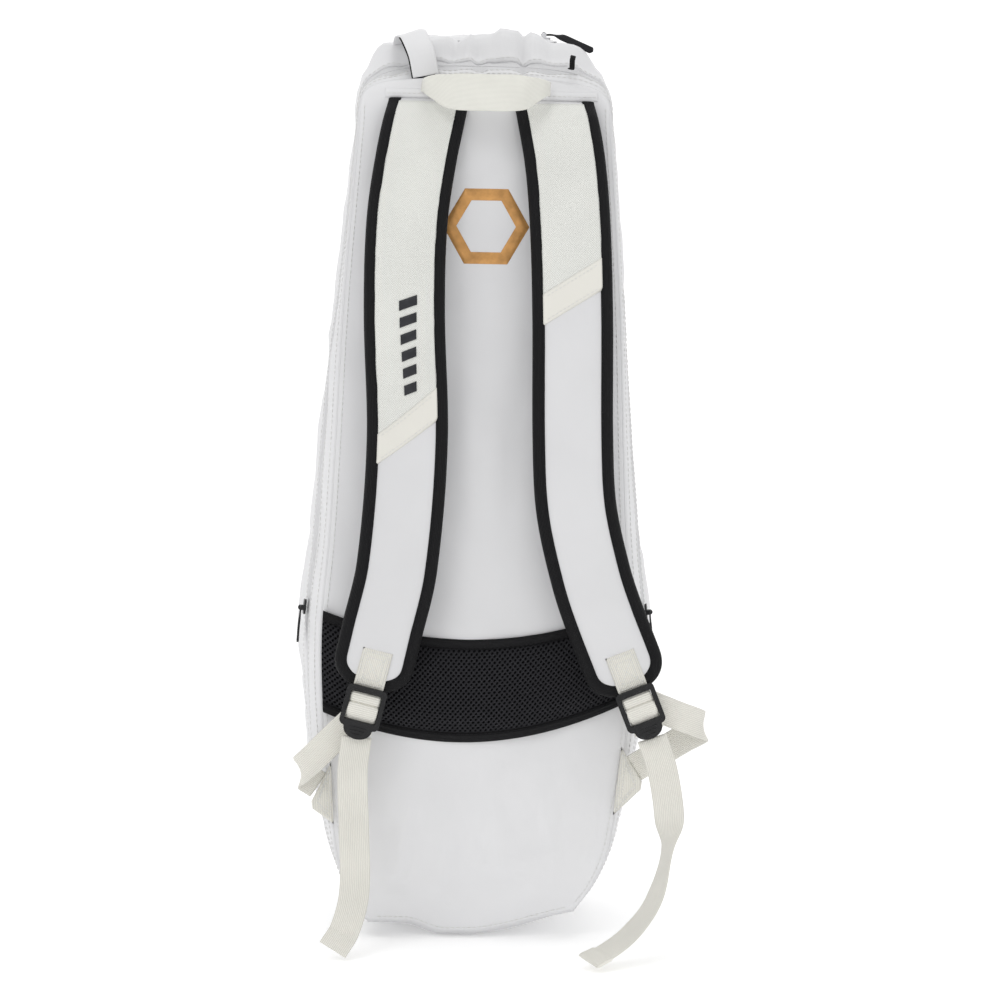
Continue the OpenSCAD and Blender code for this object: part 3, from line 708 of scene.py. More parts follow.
def panel(name, point, flip, cols, rows):
    """Front or back of the bag, from its base to the top of its seam."""
    z = panel_rows(rows)[:, None]
    u = np.linspace(-1, 1, cols)[None, :]
    x = u * seam_half(z)
    outer = point(x, z)
    uv = pair(x, z)
    if flip:
        outer, uv = outer[:, ::-1], uv[:, ::-1]
    return slab(name, outer, uv, SHELL_T, [BODY, LINING])


def make_panels():
    """The back, and the front, baked in place."""
    mount(panel("back_panel_cloth", back_point, False, 81, 230), "bag", "coated_fabric", "back_panel")
    front = panel("front_panel_cloth", front_point, True, 61, 175)
    mount(front, LID_CLOTH, "coated_fabric", "lower_front_panel", "lid_front_panel")


def seam_threads():
    """Topstitching beside the seams of the back and of the gusset."""
    z = np.linspace(FLOOR_Z + 8, SHOULDER_Z + 14, 260)
    runs = []
    for side in (-1, 1):
        line = back_point(side * (seam_half(z) - 5), z, 0.35)
        runs.append(stitches(f"back_thread_{side}", line, BACKWARD, THREAD, radius=FINE))
    line = back_point(np.linspace(-84, 84, 60), 9.0, 0.3)
    runs.append(stitches("back_thread_hem", line, BACKWARD, THREAD, radius=FINE))
    mount(join("back_topstitch", runs), "bag", "coated_fabric")
    for name, t0, body in (("rear_gusset_topstitch", 0.03, "bag"),
                           ("zip_rear_topstitch", ZIP_A - 0.014, "bag"),
                           ("zip_lid_topstitch", ZIP_C + 0.014, LID_CLOTH),
                           ("front_gusset_topstitch", 0.97, LID_CLOTH)):
        t = np.full((len(RUN), 3), t0) + np.array([-0.01, 0, 0.01])
        if name.startswith("zip"):
            t = t - top_shift()[:, None]
        p = wall_points(t)
        normal = grid_normals(p)[:, 1]
        normal *= np.sign(np.sum(normal * (p[:, 1] - [0, 0, 300]), axis=1))[:, None]
        run = stitches(name, p[:, 1] + normal * 0.35, normal, THREAD, radius=FINE)
        mount(run, body, "coated_fabric")


BASE_RIM = [(0.0, 0.4), (0.3, 0.3), (0.6, 0.2), (0.85, 0.3), (0.955, 0.9), (0.995, 2.6), (0.985, 5.0)]


def base():
    """The base: a padded plate with a turned rim, under the settled cloth."""
    ring = turns(120)
    rows = []
    for share, z in BASE_RIM:
        x = 90 * share * signed_pow(np.cos(ring), 0.36)
        y = 84 * share * signed_pow(np.sin(ring), 0.36)
        rows.append(settle(xyz(x, y, z)))
    rings = np.array(rows)
    mount(tube("base_cloth", rings, [BODY], rings[..., :2]), "bag", "coated_fabric", "base_panel")


# ---------- zips ----------

def zip_lane(name, t0, t1, body, replaced):
    """One half of the main zip: a woven tape with a raised coil along its inner edge."""
    keep = np.flatnonzero(MID_XZ[:, 1] > LID_Z - 6)
    share = np.array([0, 0.2, 0.45, 0.7, 0.82, 0.9, 0.96, 1.0])
    height = np.array([-1.0, -0.6, -0.5, -0.4, 0.5, 0.9, 0.6, -0.8])
    t = lerp(t0, t1, share)[None] - top_shift()[:, None]
    base_points = wall_points(t)
    normal = grid_normals(base_points)
    flip = np.mean(normal[:20, :, 0]) > 0
    height = height[None] * (1 - 0.8 * top_shift()[:, None] / TOP_SHIFT) - 10 * top_shift()[:, None]
    outer = base_points + (-normal if flip else normal) * height[..., None]
    outer = outer[keep]
    uv = pair(t * WALL_DEPTH, RUN[:, None])[keep]
    if flip:
        outer, uv = outer[:, ::-1], uv[:, ::-1]
    mount(slab(name, outer, uv, 1.2, [ZIP_TAPE, ZIP_TAPE]), body, "zip_tape", replaced)


def soft_box(size, radius):
    """Box with rounded edges as points and faces, centred on the origin."""
    n = 5
    verts, faces = [], []
    half = np.array(size, float) / 2
    r = min(radius, *(half * 0.98))
    for axis in range(3):
        for sign in (-1, 1):
            a, b = [(1, 2), (2, 0), (0, 1)][axis]
            g = np.linspace(-1, 1, n)
            start = len(verts)
            for i in range(n * n):
                v = np.zeros(3)
                v[axis] = sign * half[axis]
                v[a] = g[i % n] * half[a]
                v[b] = g[i // n] * half[b]
                inner = np.clip(v, -(half - r), half - r)
                out = v - inner
                length = np.linalg.norm(out)
                verts.append(inner + out / max(length, 1e-9) * r)
            quads = grid_faces(n, n, start)
            faces.append(quads if sign > 0 else quads[:, ::-1])
    return np.array(verts), np.concatenate(faces)


def box_piece(name, size, at, mat, place, radius):
    """Rounded box at a place, welded where its sides meet."""
    verts, faces = soft_box(size, radius)
    verts = np.round(put(verts + np.array(at, float), place), 4)
    unique, index = np.unique(verts, axis=0, return_inverse=True)
    index = index.reshape(-1)
    faces = [list(dict.fromkeys(index[f])) for f in faces]
    return build(name, unique, [f for f in faces if len(f) > 2], unique[:, :2], [mat])


def slider_place(body):
    """Rotation and origin of a zip slider's own frame: X out of the cloth, Z along the zip."""
    if body in ("left", "right"):
        side = 1 if body == "right" else -1
        z0, t = 282, np.array([ZIP_B - 0.02, ZIP_B, ZIP_B + 0.02])

        def at(z):
            w = lerp(curve(SEAM_TABLE, z), curve(MID_TABLE, z), swell(t))
            return xyz(side * w, lerp(curve(BACK_TABLE, z), curve(FRONT_TABLE, z), t), z)

        z_axis = unit(at(z0 + 250)[1] - at(z0)[1])
        x_axis = unit(np.cross(z_axis, at(z0)[2] - at(z0)[0])) * -side
        origin = at(z0)[1] + x_axis * 1.2
    elif body == "top":
        z_axis, x_axis = np.array([-1.0, 0, 0]), np.array([0, 0, 1.0])
        low, high = node_box("top_slider")
        origin = np.array([50, (low[1] + high[1]) / 2, low[2]])
    else:
        z_axis, x_axis = np.array([1.0, 0, 0]), np.array([0, 1.0, 0])
        low, high = node_box("pocket_slider")
        origin = np.array([62, low[1], (low[2] + high[2]) / 2])
    return np.stack([x_axis, np.cross(z_axis, x_axis), z_axis], axis=1), origin


PIN = np.array([4.3, 0, -1])


def make_slider(body, mat):
    """Zip slider: a waisted plate, a bridge and the pin that carries the pull."""
    place = slider_place(body)
    parts = [box_piece("plate", (2, 8, 13), (1, 0, 0), mat, place, 0.9),
             box_piece("wing", (1.6, 9.4, 5), (0.9, 0, 3.4), mat, place, 0.7),
             box_piece("cheek", (5.4, 1.5, 4), (2.7, 3.2, -1), mat, place, 0.5),
             box_piece("cheek2", (5.4, 1.5, 4), (2.7, -3.2, -1), mat, place, 0.5),
             box_piece("roof", (1.2, 7.6, 1.9), (4.3, 0, -1), mat, place, 0.55)]
    piece = join(f"{body}_zip_slider", parts)
    mount(piece, f"{body}_slider", "silver_metal" if mat is SILVER else "black_metal", f"{body}_slider")


def pull_tongue(path, width, thickness, twist):
    """Rings and cloth positions of a pull's flat, ribbed tongue, in the slider's frame."""
    dist = run_along(path)
    s = np.linspace(0, dist[-1], 46)
    p = curve(list(zip(dist, path)), s)
    along = unit(np.gradient(p, axis=0))
    side = unit(np.cross(np.broadcast_to([1.0, 0, 0], along.shape), along))
    share = s / s[-1]
    angle = (math.radians(twist) * smooth(0.12, 0.4, share))[:, None]
    side, face = turned(side, np.cross(along, side), angle)
    w = width * (0.62 + 0.38 * smooth(0.1, 0.3, share)) * smooth(1.0, 0.955, share) ** 0.5
    w = np.maximum(w, 0.5)
    ribs = np.sin(share * math.pi * 22) ** 2 * smooth(0.25, 0.3, share)
    th = thickness * (0.8 + 0.35 * ribs)
    a = turns(14)
    ring = p[:, None] + side[:, None] * (w[:, None] / 2 * signed_pow(np.cos(a), 0.6)[None])[..., None]
    ring = ring + face[:, None] * (th[:, None] / 2 * signed_pow(np.sin(a), 0.7)[None])[..., None]
    return ring, pair(a[None] * 2, s[:, None])


def pull_eye():
    """Rings of the loop that joins a pull to its slider's pin, in the slider's frame."""
    a, small = turns(24), turns(8)
    eye = PIN + xyz(1.75 * np.cos(a), 0, 1.75 * np.sin(a))
    rings = eye[:, None] + unit(eye - PIN)[:, None] * (0.55 * np.cos(small))[None, :, None]
    return rings + np.array([0, 1.0, 0]) * (1.9 * np.sin(small))[None, :, None]


def make_pull(body, path, width, thickness, twist):
    """Zip pull: a moulded tongue on a loop, along a path in the slider's frame."""
    place = slider_place(body)
    rings, uv = pull_tongue(path, width, thickness, twist)
    tongue = tube("tongue", put(rings, place), [BLACK_THREAD], uv)
    loop = tube("eye", put(pull_eye(), place), [BLACK_METAL], looped=True)
    mount(join(f"{body}_zip_pull", [tongue, loop]), f"{body}_pull", "black_tape", f"{body}_pull")


def make_zips():
    """Main zip, sliders, pulls and the two short zips."""
    zip_lane("rear_zip_half", ZIP_A - 0.004, ZIP_B - 0.0008, "bag", "rear_zip_tape")
    zip_lane("lid_zip_half", ZIP_C + 0.004, ZIP_B + 0.0008, LID_CLOTH, "lid_zip_tape")
    straight = [(4.2, 0, -2.5), (4.2, 0, -8), (4.4, 0, -16), (4.0, 0, -31)]
    for body in ("left", "right", "pocket"):
        make_slider(body, BLACK_METAL)
        make_pull(body, straight, 5.0, 1.7, 0.0)
    make_slider("top", SILVER)
    bend = [(4.3, 0, -2.5), (4.4, 0, -8), (2.0, -5, -16), (-4.0, -12, -28), (-11.0, -19.5, -42)]
    make_pull("top", bend, 6.4, 2.0, 60.0)
    flat_zip("top_pocket_zip_cloth", "top_pocket_zip", ZIP_TAPE, "z")
    flat_zip("pocket_zip_cloth", "pocket_zip", BLACK_ZIP, "y")


def over_cloth(rings, low):
    """Shifts the rings of the front zip outward where the swollen cloth under them stands higher."""
    cloth = front_point(rings[..., 0], rings[..., 2])[..., 1]
    rings = rings.copy()
    rings[..., 1] += np.maximum(0, cloth + 0.9 - low)
    return rings


COIL_PROFILE = [(-4.6, -1.2), (-4.4, 0.9), (-1.6, 1.1), (-1.1, 1.7), (0, 2.0), (1.1, 1.7), (1.6, 1.1),
                (4.4, 0.9), (4.6, -1.2)]
WELT_PROFILE = [(3.6, 0.6), (3.4, 2.0), (4.4, 2.6), (7.5, 2.0), (10.5, -0.4), (12.0, -1.4), (8, -1.7),
                (4, -1.2)]
WELT_REACH = 1.06


def flat_zip(name, node, mat, out_axis):
    """Short zip on the lid: tape with a coil and two welts of body cloth beside it."""
    low, high = node_box(node)
    centre = (low + high) / 2
    length = high[0] - low[0]
    s = np.linspace(-length / 2, length / 2, 90)
    if out_axis == "z":
        across, out, bottom = np.array([0, 1.0, 0]), np.array([0, 0, 1.0]), low[2]
    else:
        across, out, bottom = np.array([0, 0, -1.0]), np.array([0, 1.0, 0]), low[1]
    origin = centre - out * (centre @ out) + out * bottom
    parts = []

    def strip(part, profile, at, rise, cloth):
        a, h = np.array(profile).T
        grid = origin + at[:, None, None] * np.array([1.0, 0, 0])
        grid = grid + a[None, :, None] * across + (h[None] * rise)[..., None] * out
        if out_axis == "y":
            grid = over_cloth(grid, bottom)
        parts.append(tube(part, grid, [cloth], pair(a[None], s[:, None])))

    strip(f"{name}_tape", COIL_PROFILE, s, np.ones((len(s), 1)), mat)
    rise = lerp(0.4, 1, smooth(0, 7, length / 2 + 3 - np.abs(s * WELT_REACH)))[:, None]
    strip(f"{name}_welt-1", [(-a, h) for a, h in WELT_PROFILE[::-1]], s * WELT_REACH, rise, BODY)
    strip(f"{name}_welt1", WELT_PROFILE, s * WELT_REACH, rise, BODY)
    mount(join(name, parts), "lid", "zip_tape" if mat is ZIP_TAPE else "black_tape", node)


# ---------- shoulder straps ----------

# strap paths as [distance below the seam, [x, y]]
LEFT_PATH = [[0, [-47, -115]], [50, [-57, -129]], [105, [-64, -138]], [180, [-65, -145]],
             [285, [-61, -148]], [390, [-68, -148]], [445, [-80, -148]], [490, [-90, -148]],
             [515, [-96, -148]]]
RIGHT_PATH = [[0, [57, -115]], [50, [66, -129]], [105, [71, -138]], [180, [74, -145]],
              [285, [76, -148]], [340, [80, -148]], [395, [93, -148]], [427, [104, -148]],
              [474, [123, -148]], [515, [138, -148]]]
PATHS = {"left": LEFT_PATH, "right": RIGHT_PATH}
STRAP_W = 67
STRAP_LEN = 492
END_R = 26  # the strap's end is a rounded square of this radius
END_POWER = 2.4
TAPE_W = 10.3
PAD_RIM = 4.0  # height of the padded front at its edge
PAD_SWELL = 2.0  # and how much more at its middle
UNDERSIDE = 5.5  # depth of the strap's back below its middle


def strap_frame(path, s):
    """Middle point, rightward and outward directions of a strap at distance s below its seam."""
    def mid(at):
        xy = curve(path, at)
        return xyz(xy[..., 0], xy[..., 1], SEAM_Z - at)
    s = np.asarray(s, float)
    along = mid(np.minimum(s + 2, STRAP_LEN)) - mid(np.maximum(s - 2, 0))
    along[..., 0] *= smooth(-4, 42, s)
    along = unit(along)
    out = np.array([0, -1.0, 0]) - along * -along[..., 1:2]
    out = unit(out)
    return mid(s), np.cross(out, along), out


def strap_point(path, s, d, h):
    """Point on a strap: s below its seam, d to the right of its middle, h above it."""
    middle, right, out = strap_frame(path, s)
    h = (np.asarray(h) + UNDERSIDE) * lerp(0.4, 1, smooth(-2, 20, s)) - UNDERSIDE
    return middle + right * np.asarray(d)[..., None] + out * h[..., None]


def strap_half(s, inset):
    """Half width of the strap's outline at s, inset from its edge."""
    s0, r = STRAP_LEN - END_R, END_R - inset
    share = np.clip((s - s0) / r, 0, 1)
    return (STRAP_W / 2 - inset) * np.maximum(1 - share ** END_POWER, 0) ** (1 / END_POWER)


def pad_height(path, s, d):
    """Height of the padded front above the strap's middle, crowned between its bindings."""
    inner = STRAP_W / 2 - TAPE_W + 4
    crown = 1 - np.clip(np.abs(d) / inner, 0, 1) ** 2.6
    p = xyz(d, 0 * d + (60 if path is LEFT_PATH else -60), s)
    wave = 0.35 * noise(p, 60, 31, (1, 1, 1.5)) + 0.16 * noise(p, 24, 32, (1, 1, 1.4))
    return PAD_RIM + PAD_SWELL * crown + wave * crown


def on_pad(path, s, d, lift):
    """Points above the padded front of a strap."""
    return strap_point(path, s, d, pad_height(path, s, d) + lift)


def make_pad(side, path):
    """The padded core, crowned in front and behind."""
    last = STRAP_LEN - 4.2
    share = np.linspace(0, 1, 150)
    s = np.where(share < 0.85, share / 0.85 * 0.93, 0.93 + (share - 0.85) / 0.15 * 0.07) * last + 1.5
    a = turns(56)
    w = strap_half(s, 4.0)[:, None]
    d = w * signed_pow(np.cos(a), 0.55)[None]
    up = pad_height(path, np.broadcast_to(s[:, None], d.shape), d)
    taper = np.sqrt(np.clip(strap_half(s, 4.0) / (STRAP_W / 2 - 4), 0, 1))[:, None]
    h = up * taper * signed_pow(np.sin(a), 0.42)[None]
    points = strap_point(path, np.broadcast_to(s[:, None], d.shape), d, h)
    uv = pair(d, s[:, None])
    piece = tube(f"{side}_strap_padding", points, [STRAP_CLOTH], uv)
    mount(piece, f"{side}_strap", "coated_fabric", f"{side}_strap_pad")


def overlay_part(name, path, start, end, lift, mat, half, folded):
    """Cloth laid over the pad between two slanted lines, given as distances at the left and right edge."""
    cols = 34
    u = np.linspace(0, 1, cols)[None, :]
    lengthwise = int(max(end[0] - start[0], end[1] - start[1]) / 3.5) + 4
    v = np.linspace(0, 1, lengthwise)[:, None]
    s = lerp(lerp(start[0], start[1], u), lerp(end[0], end[1], u), v)
    d = half * (2 * u - 1) + 0 * s
    if folded:
        rim = (1 - v) * (lerp(end[0], end[1], u) - lerp(start[0], start[1], u))
        lift = lift - 0.9 * smooth(2.5, 0, rim)
    outer = on_pad(path, s, d, lift)
    uv = pair(d, s)
    return slab(name, outer[::-1], uv[::-1], 0.8, [mat])


def make_overlay(side, path, left_end, right_end, band):
    """Textured overlay on the upper strap, then a smooth band cut off along a slanted seam."""
    half = STRAP_W / 2 - TAPE_W + 1.5
    split = (left_end - band, right_end - band)
    under = (split[0] - 2, split[1] - 2)
    parts = [overlay_part(f"{side}_texture", path, (3, 3), split, 0.75, OVERLAY, half, False),
             overlay_part(f"{side}_band", path, under, (left_end, right_end), 1.15, BAND, half, True)]
    u = np.linspace(0.04, 0.96, 40)
    for name, offset in (("seam", -3.2), ("split", -band + 1.6)):
        s = lerp(left_end, right_end, u) + offset
        d = half * (2 * u - 1)
        run = on_pad(path, s, d, 1.3)
        parts.append(stitches(f"{side}_{name}", run, strap_frame(path, s)[2], THREAD, 2.6, 3.8, 0.3))
    piece = join(f"{side}_strap_overlay_cloth", parts)
    mount(piece, f"{side}_strap", "overlay_fabric", f"{side}_strap_overlay")


def strap_edge():
    """The strap's outline from seam to seam as (across, down) points, with outward directions."""
    straight = np.linspace(0, STRAP_LEN - END_R, 150)
    half = STRAP_W / 2
    a = np.linspace(0, math.pi, 44)[1:-1]
    c, s = np.cos(a), np.sin(a)
    r = (np.abs(c) ** END_POWER + np.abs(s) ** END_POWER) ** (-1 / END_POWER)
    end = pair(half * r * c, STRAP_LEN - END_R + END_R * r * s)
    right = pair(float(half), straight)
    line = np.concatenate([right, end, right[::-1] * [-1, 1]])
    ahead = unit(np.gradient(line, axis=0))
    return line, pair(ahead[:, 1], -ahead[:, 0])


BINDING_PROFILE = [  # inward from the strap's edge, height
    (10.3, -2.5), (10.3, 3.6), (10.1, 4.75), (9.2, 5.25), (7.6, 5.5), (5.2, 5.55), (3.0, 5.1), (1.3, 4.0),
    (0.3, 2.2), (0.0, 0.0), (0.3, -2.2), (1.3, -4.0), (3.0, -5.1), (5.2, -5.5), (8.0, -5.4), (10.2, -4.6),
]


def make_binding(side, path):
    """Woven binding folded round the edge of the strap, with its stitch line."""
    line, outward = strap_edge()
    e, h = np.array(BINDING_PROFILE).T
    spot = line[:, None] - outward[:, None] * e[None, :, None]
    tall = h[None] + 0.12 * noise(xyz(spot[..., 0], 0 * spot[..., 0], spot[..., 1]), 18, 33)
    points = strap_point(path, spot[..., 1], spot[..., 0], tall)
    uv = pair(run_along(BINDING_PROFILE)[None], run_along(line)[:, None])
    tape = tube("tape", points[:, ::-1], [BINDING], uv[:, ::-1])
    seam = line - outward * 8.4
    path_points = strap_point(path, seam[:, 1], seam[:, 0], np.full(len(seam), 5.55))
    thread = stitches("thread", path_points, strap_frame(path, seam[:, 1])[2], BLACK_THREAD, *TAPE_STITCH)
    piece = join(f"{side}_strap_binding", [tape, thread])
    mount(piece, f"{side}_strap", "black_tape", f"{side}_strap_tape")


def make_mark(path):
    """Generic mark on the left strap: a short ladder of slanted bars."""
    parts = []
    for k in range(6):
        s = np.linspace(0, 1, 5)[:, None] * 8 + 168 + k * 14
        d = np.linspace(-1, 1, 9)[None, :] * (7.4 - 0.45 * k)
        s = s - d * 0.35
        d = d + 0 * s + 3.0
        points = on_pad(path, s, d, 1.35)
        uv = pair(d, s)
        parts.append(slab(f"bar_{k}", points[::-1], uv[::-1], 0.5, [DARK_PRINT]))
    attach(join("left_strap_mark", parts), "left_strap")


# ---------- webbing ----------

def band_edge(u):
    """Share of webbing's thickness across its width, thin at its rolled edges."""
    return np.maximum((1 - np.abs(u) ** 8) ** 0.5, 0.25)


def ribbon(name, stations, width, mat, thickness=1.6, cols=22, step=2.0, ruffle=0.0, seed=0, hem=None):
    """Webbing along [distance, [x, y, z, angle, width, twist]] stations; the last two may be left out."""
    first, last = stations[0][0], stations[-1][0]
    s = np.linspace(first, last, int((last - first) / step) + 2)
    v = curve(stations, s)
    near = np.clip(s + 0.5, first, last), np.clip(s - 0.5, first, last)
    along = unit(curve(stations, near[0])[:, :3] - curve(stations, near[1])[:, :3])
    a = np.radians(v[:, 3])
    want = xyz(np.cos(a), 0 * a, -np.sin(a))
    side = unit(want - along * np.sum(want * along, axis=1)[:, None])
    face = np.cross(along, side)
    if v.shape[1] > 5:
        side, face = turned(side, face, np.radians(v[:, 5])[:, None])
    wide = v[:, 4] if v.shape[1] > 4 else np.full(len(s), float(width))
    u = np.linspace(-1, 1, cols)
    across = u[None] * wide[:, None] / 2
    flatness = np.broadcast_to(v[:, None, :3], (len(s), cols, 3)) + side[:, None] * across[..., None]
    bend = ruffle * noise(flatness, 26, 50 + seed) + 0.25 * noise(flatness, 40, 60 + seed)
    half = thickness / 2 * band_edge(u)[None] + 0 * across
    if hem is not None:
        half = half + thickness * 0.8 * (np.abs(s - hem)[:, None] < 7)
    upper = flatness + face[:, None] * (bend + half)[..., None]
    lower = flatness + face[:, None] * (bend - half)[..., None]
    uv = pair(across, s[:, None])
    return slab(name, upper[:, ::-1], uv[:, ::-1], 0, [mat], inner=lower[:, ::-1])


# webbing as [distance, [x, y, z, angle, width, twist]]
LEFT_LOOP = [[0, [-97, -151, 200, 44]], [34, [-121, -142, 176, 47]], [56, [-137, -136, 159, 54]],
             [68, [-144.5, -131, 151, 68]], [77, [-144.5, -124, 145, 86]],
             [90, [-137, -117.5, 139, 104]], [98, [-131.5, -115, 135, 112]]]
RIGHT_LOOP = [[0, [142, -151, 212, 112]], [30, [169, -145, 201, 108]], [44, [182, -140, 196, 102]],
              [55, [190, -134, 192, 90]], [64, [190, -127, 188, 78]], [84, [175, -120, 178, 64]],
              [134, [135, -115, 152, 57]]]
LEFT_TAIL = [[0, [-99, -154, 182, 8]], [30, [-102, -155.5, 152, 2]], [78, [-100, -158, 104, -1]],
             [129, [-99, -165, 54, 0]], [160, [-106, -172, 25, 12]], [181, [-116, -178.5, 9, 24]]]
RIGHT_TAIL = [[0, [146, -154, 184, -20, 25, 0]], [29, [155, -156, 157, -14, 25, 0]],
              [66, [161, -160, 120, -2, 25, 12]], [92, [160, -165, 95, 8, 25, 72]],
              [135, [149, -174, 54, 28, 25, 68]], [166, [132, -184, 30.5, 45, 25, 66]],
              [195, [110, -197, 15, 60, 25, 66]], [216, [92, -207, 8, 66, 25, 66]]]
HANDLE = [[0, [-52, -113.6, 721.5, 90, 12]], [13, [-50, -126, 721, 90, 13]],
          [28, [-42, -138, 718.5, 90, 21]], [46, [-28, -146, 714.5, 90, 29]],
          [74, [0, -151, 713.5, 90, 30]], [102, [28, -147, 714.5, 90, 29]],
          [118, [41, -138, 718, 90, 20]], [131, [50, -127, 720.5, 90, 13]],
          [143, [53, -113.6, 721, 90, 12]]]
HANG_LOOP = [[0, [-50, -107, 731, 0]], [20, [-54, -111, 749, -4]], [36, [-59, -108, 761, -9]],
             [46, [-62, -101, 767, -13]], [61, [-66, -86, 768, -18]], [80, [-68, -68, 760, -20]]]
WEB_W = 25


def make_webbing():
    """Lower webbing from the bag to the strap and the hanging tail, on both sides."""
    for side, loop, tail, hem in (("left", LEFT_LOOP, LEFT_TAIL, 174),
                                  ("right", RIGHT_LOOP, RIGHT_TAIL, 208)):
        band = ribbon(f"{side}_lower_band", loop, WEB_W - 1, WEBBING)
        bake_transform(band)
        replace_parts(band, f"{side}_lower_webbing")
        piece = ribbon(f"{side}_tail_band", tail, WEB_W, WEBBING, hem=hem)
        mount(piece, f"{side}_tail", "cream_webbing", f"{side}_tail")


def make_handle():
    """Grab handle: two layers of webbing pinched at their ends, with bar tacks."""
    outer = ribbon("handle_outer", HANDLE, WEB_W, HANDLE_CLOTH, 2.2, 24, 1.5, ruffle=1.3, seed=4)
    inner_path = [[s, [p[0], p[1] + 2.6, p[2] + 0.8, p[3], p[4] * 0.94]] for s, p in HANDLE]
    inner = ribbon("handle_inner", inner_path, WEB_W, HANDLE_CLOTH, 1.8, 24, 1.5, ruffle=1.3, seed=7)
    threads = []
    for x in (44, 47, 50):
        line = xyz(x, np.linspace(-134, -131, 6) + (x - 44) * 1.2, np.linspace(724.5, 712.5, 6))
        threads.append(stitches(f"handle_thread_{x}", line, (0.4, -0.9, 0), THREAD, 1.6, 2.5, FINE))
    piece = join("grab_handle_webbing", [outer, inner] + threads)
    mount(piece, "grab_handle", "cream_webbing", "grab_handle")


def make_hang_loop():
    """Cloth loop that leans on the gathered top, with a strip of binding under its rear end."""
    hang = ribbon("hang_outer", HANG_LOOP, 22, BODY, 1.6, 18, 1.5, ruffle=0.9, seed=2)
    lining = [[s, [p[0] - 1.8, p[1] + 1.7, p[2] - 1.2, p[3]]] for s, p in HANG_LOOP[:4]]
    under = ribbon("hang_under", lining, 20, BINDING, 1.2, 14, 2.0)
    mount(join("hang_loop_cloth", [hang, under]), "bag", "coated_fabric", "hang_loop")


def make_small_loop():
    """Short black loop of binding on the gathered top."""
    c = sum(node_box("small_loop")) / 2
    path = [[0, [c[0] - 1, c[1] + 6, c[2] - 5, 12]], [8, [c[0], c[1] - 1, c[2] - 5, 12]],
            [15, [c[0], c[1] - 4, c[2] + 1, 12]], [21, [c[0] + 1, c[1] - 1, c[2] + 5, 12]],
            [28, [c[0] + 1, c[1] + 6, c[2] + 5, 12]]]
    small = ribbon("small_loop_tape", path, 4.5, BINDING, 1.2, 10, 1.0)
    mount(small, "bag", "black_tape", "small_loop")


def make_strap_seam():
    """Raised strip of cloth over the upper ends of both straps."""
    x = np.linspace(-84, 94, 120)
    rows = np.array([0.0, 0.4, 2, 4, 6, 7.6, 8])
    height = np.array([0.0, 0.7, 0.9, 1.0, 0.9, 0.7, 0.0])
    outer = back_point(x[None, :], (SEAM_Z + rows)[:, None]) - xyz(0, height[:, None], 0)
    seam = slab("strap_seam_cloth", outer, pair(x[None, :], rows[:, None]), 1.0, [BODY])
    line = back_point(x, SEAM_Z + 4.0, 1.15)
    thread = stitches("seam_thread", line, BACKWARD, THREAD, 2.8, 4.2, FINE)
    mount(join("strap_seam_band", [seam, thread]), "bag", "coated_fabric", "strap_seam_tape")


def patch(name, corners, depth, thickness, inset):
    """Sewn webbing patch with four corners in the XZ plane, softly crowned, stitched round and across."""
    c = np.array(corners, float)
    n = 18
    u = np.linspace(0, 1, n)[None, :, None]
    v = np.linspace(0, 1, n)[:, None, None]
    xz = lerp(lerp(c[0], c[1], u), lerp(c[3], c[2], u), v)
    rim = np.minimum(np.minimum(u, 1 - u), np.minimum(v, 1 - v))[..., 0]
    y = depth - thickness * smooth(0, 0.06, rim) ** 0.5 - 0.3 * smooth(0.05, 0.4, rim)
    outer = xyz(xz[..., 0], y, xz[..., 1])
    parts = [slab(name, outer, xz, 0, [WEBBING], inner=xyz(xz[..., 0], depth, xz[..., 1]))]
    middle = c.mean(axis=0)
    inner = c + (middle - c) * (inset / np.linalg.norm(middle - c, axis=1, keepdims=True)) * 1.4
    small = middle + (inner - middle) * 0.66
    lines = [(inner[k], inner[(k + 1) % 4]) for k in range(4)]
    lines += [(inner[0], inner[2]), (inner[1], inner[3])]
    lines += [(small[k], small[(k + 1) % 4]) for k in range(4)]
    for k, (a, b) in enumerate(lines):
        if np.linalg.norm(b - a) < 6:
            continue
        p = lerp(a, b, np.linspace(0, 1, 12)[:, None])
        run = xyz(p[:, 0], depth - thickness - 0.3, p[:, 1])
        parts.append(stitches(f"{name}_{k}", run, BACKWARD, THREAD, 1.5, 2.5, 0.42))
    return parts


def make_anchors():
    """Triangular anchor tabs sewn to the side seams."""
    shapes = {"left": [(-118, 102), (-136, 115), (-137, 121), (-121, 154)],
              "right": [(118, 112), (141, 134), (142, 141), (124, 170)]}
    for side, corners in shapes.items():
        piece = join(f"{side}_anchor_patch", patch(f"{side}_anchor", corners, -115.6, 2.4, 3.6))
        mount(piece, "bag", "cream_webbing", f"{side}_anchor_tab")


# ---------- ladder locks ----------

LOCKS = {"left": ((-90, -157.2, 222.5), 14), "right": ((129.5, -157.2, 224), -22)}


def lock_place(side):
    """Rotation and origin of a ladder lock's own frame."""
    pos, lean = LOCKS[side]
    a = math.radians(lean)
    rot = np.array([[math.cos(a), 0, math.sin(a)], [0, 1, 0], [-math.sin(a), 0, math.cos(a)]])
    return rot, np.array(pos, float)


def rounded_outline(half_w, top, bottom, r):
    """Rounded rectangle as (x, z) points, anticlockwise."""
    a = np.linspace(0, math.pi / 2, 7)
    points = []
    for cx, cz, turn in ((half_w - r, top - r, 0), (-half_w + r, top - r, 1), (-half_w + r, bottom + r, 2),
                         (half_w - r, bottom + r, 3)):
        for k in a + turn * math.pi / 2:
            points.append((cx + r * math.cos(k), cz + r * math.sin(k)))
    return points


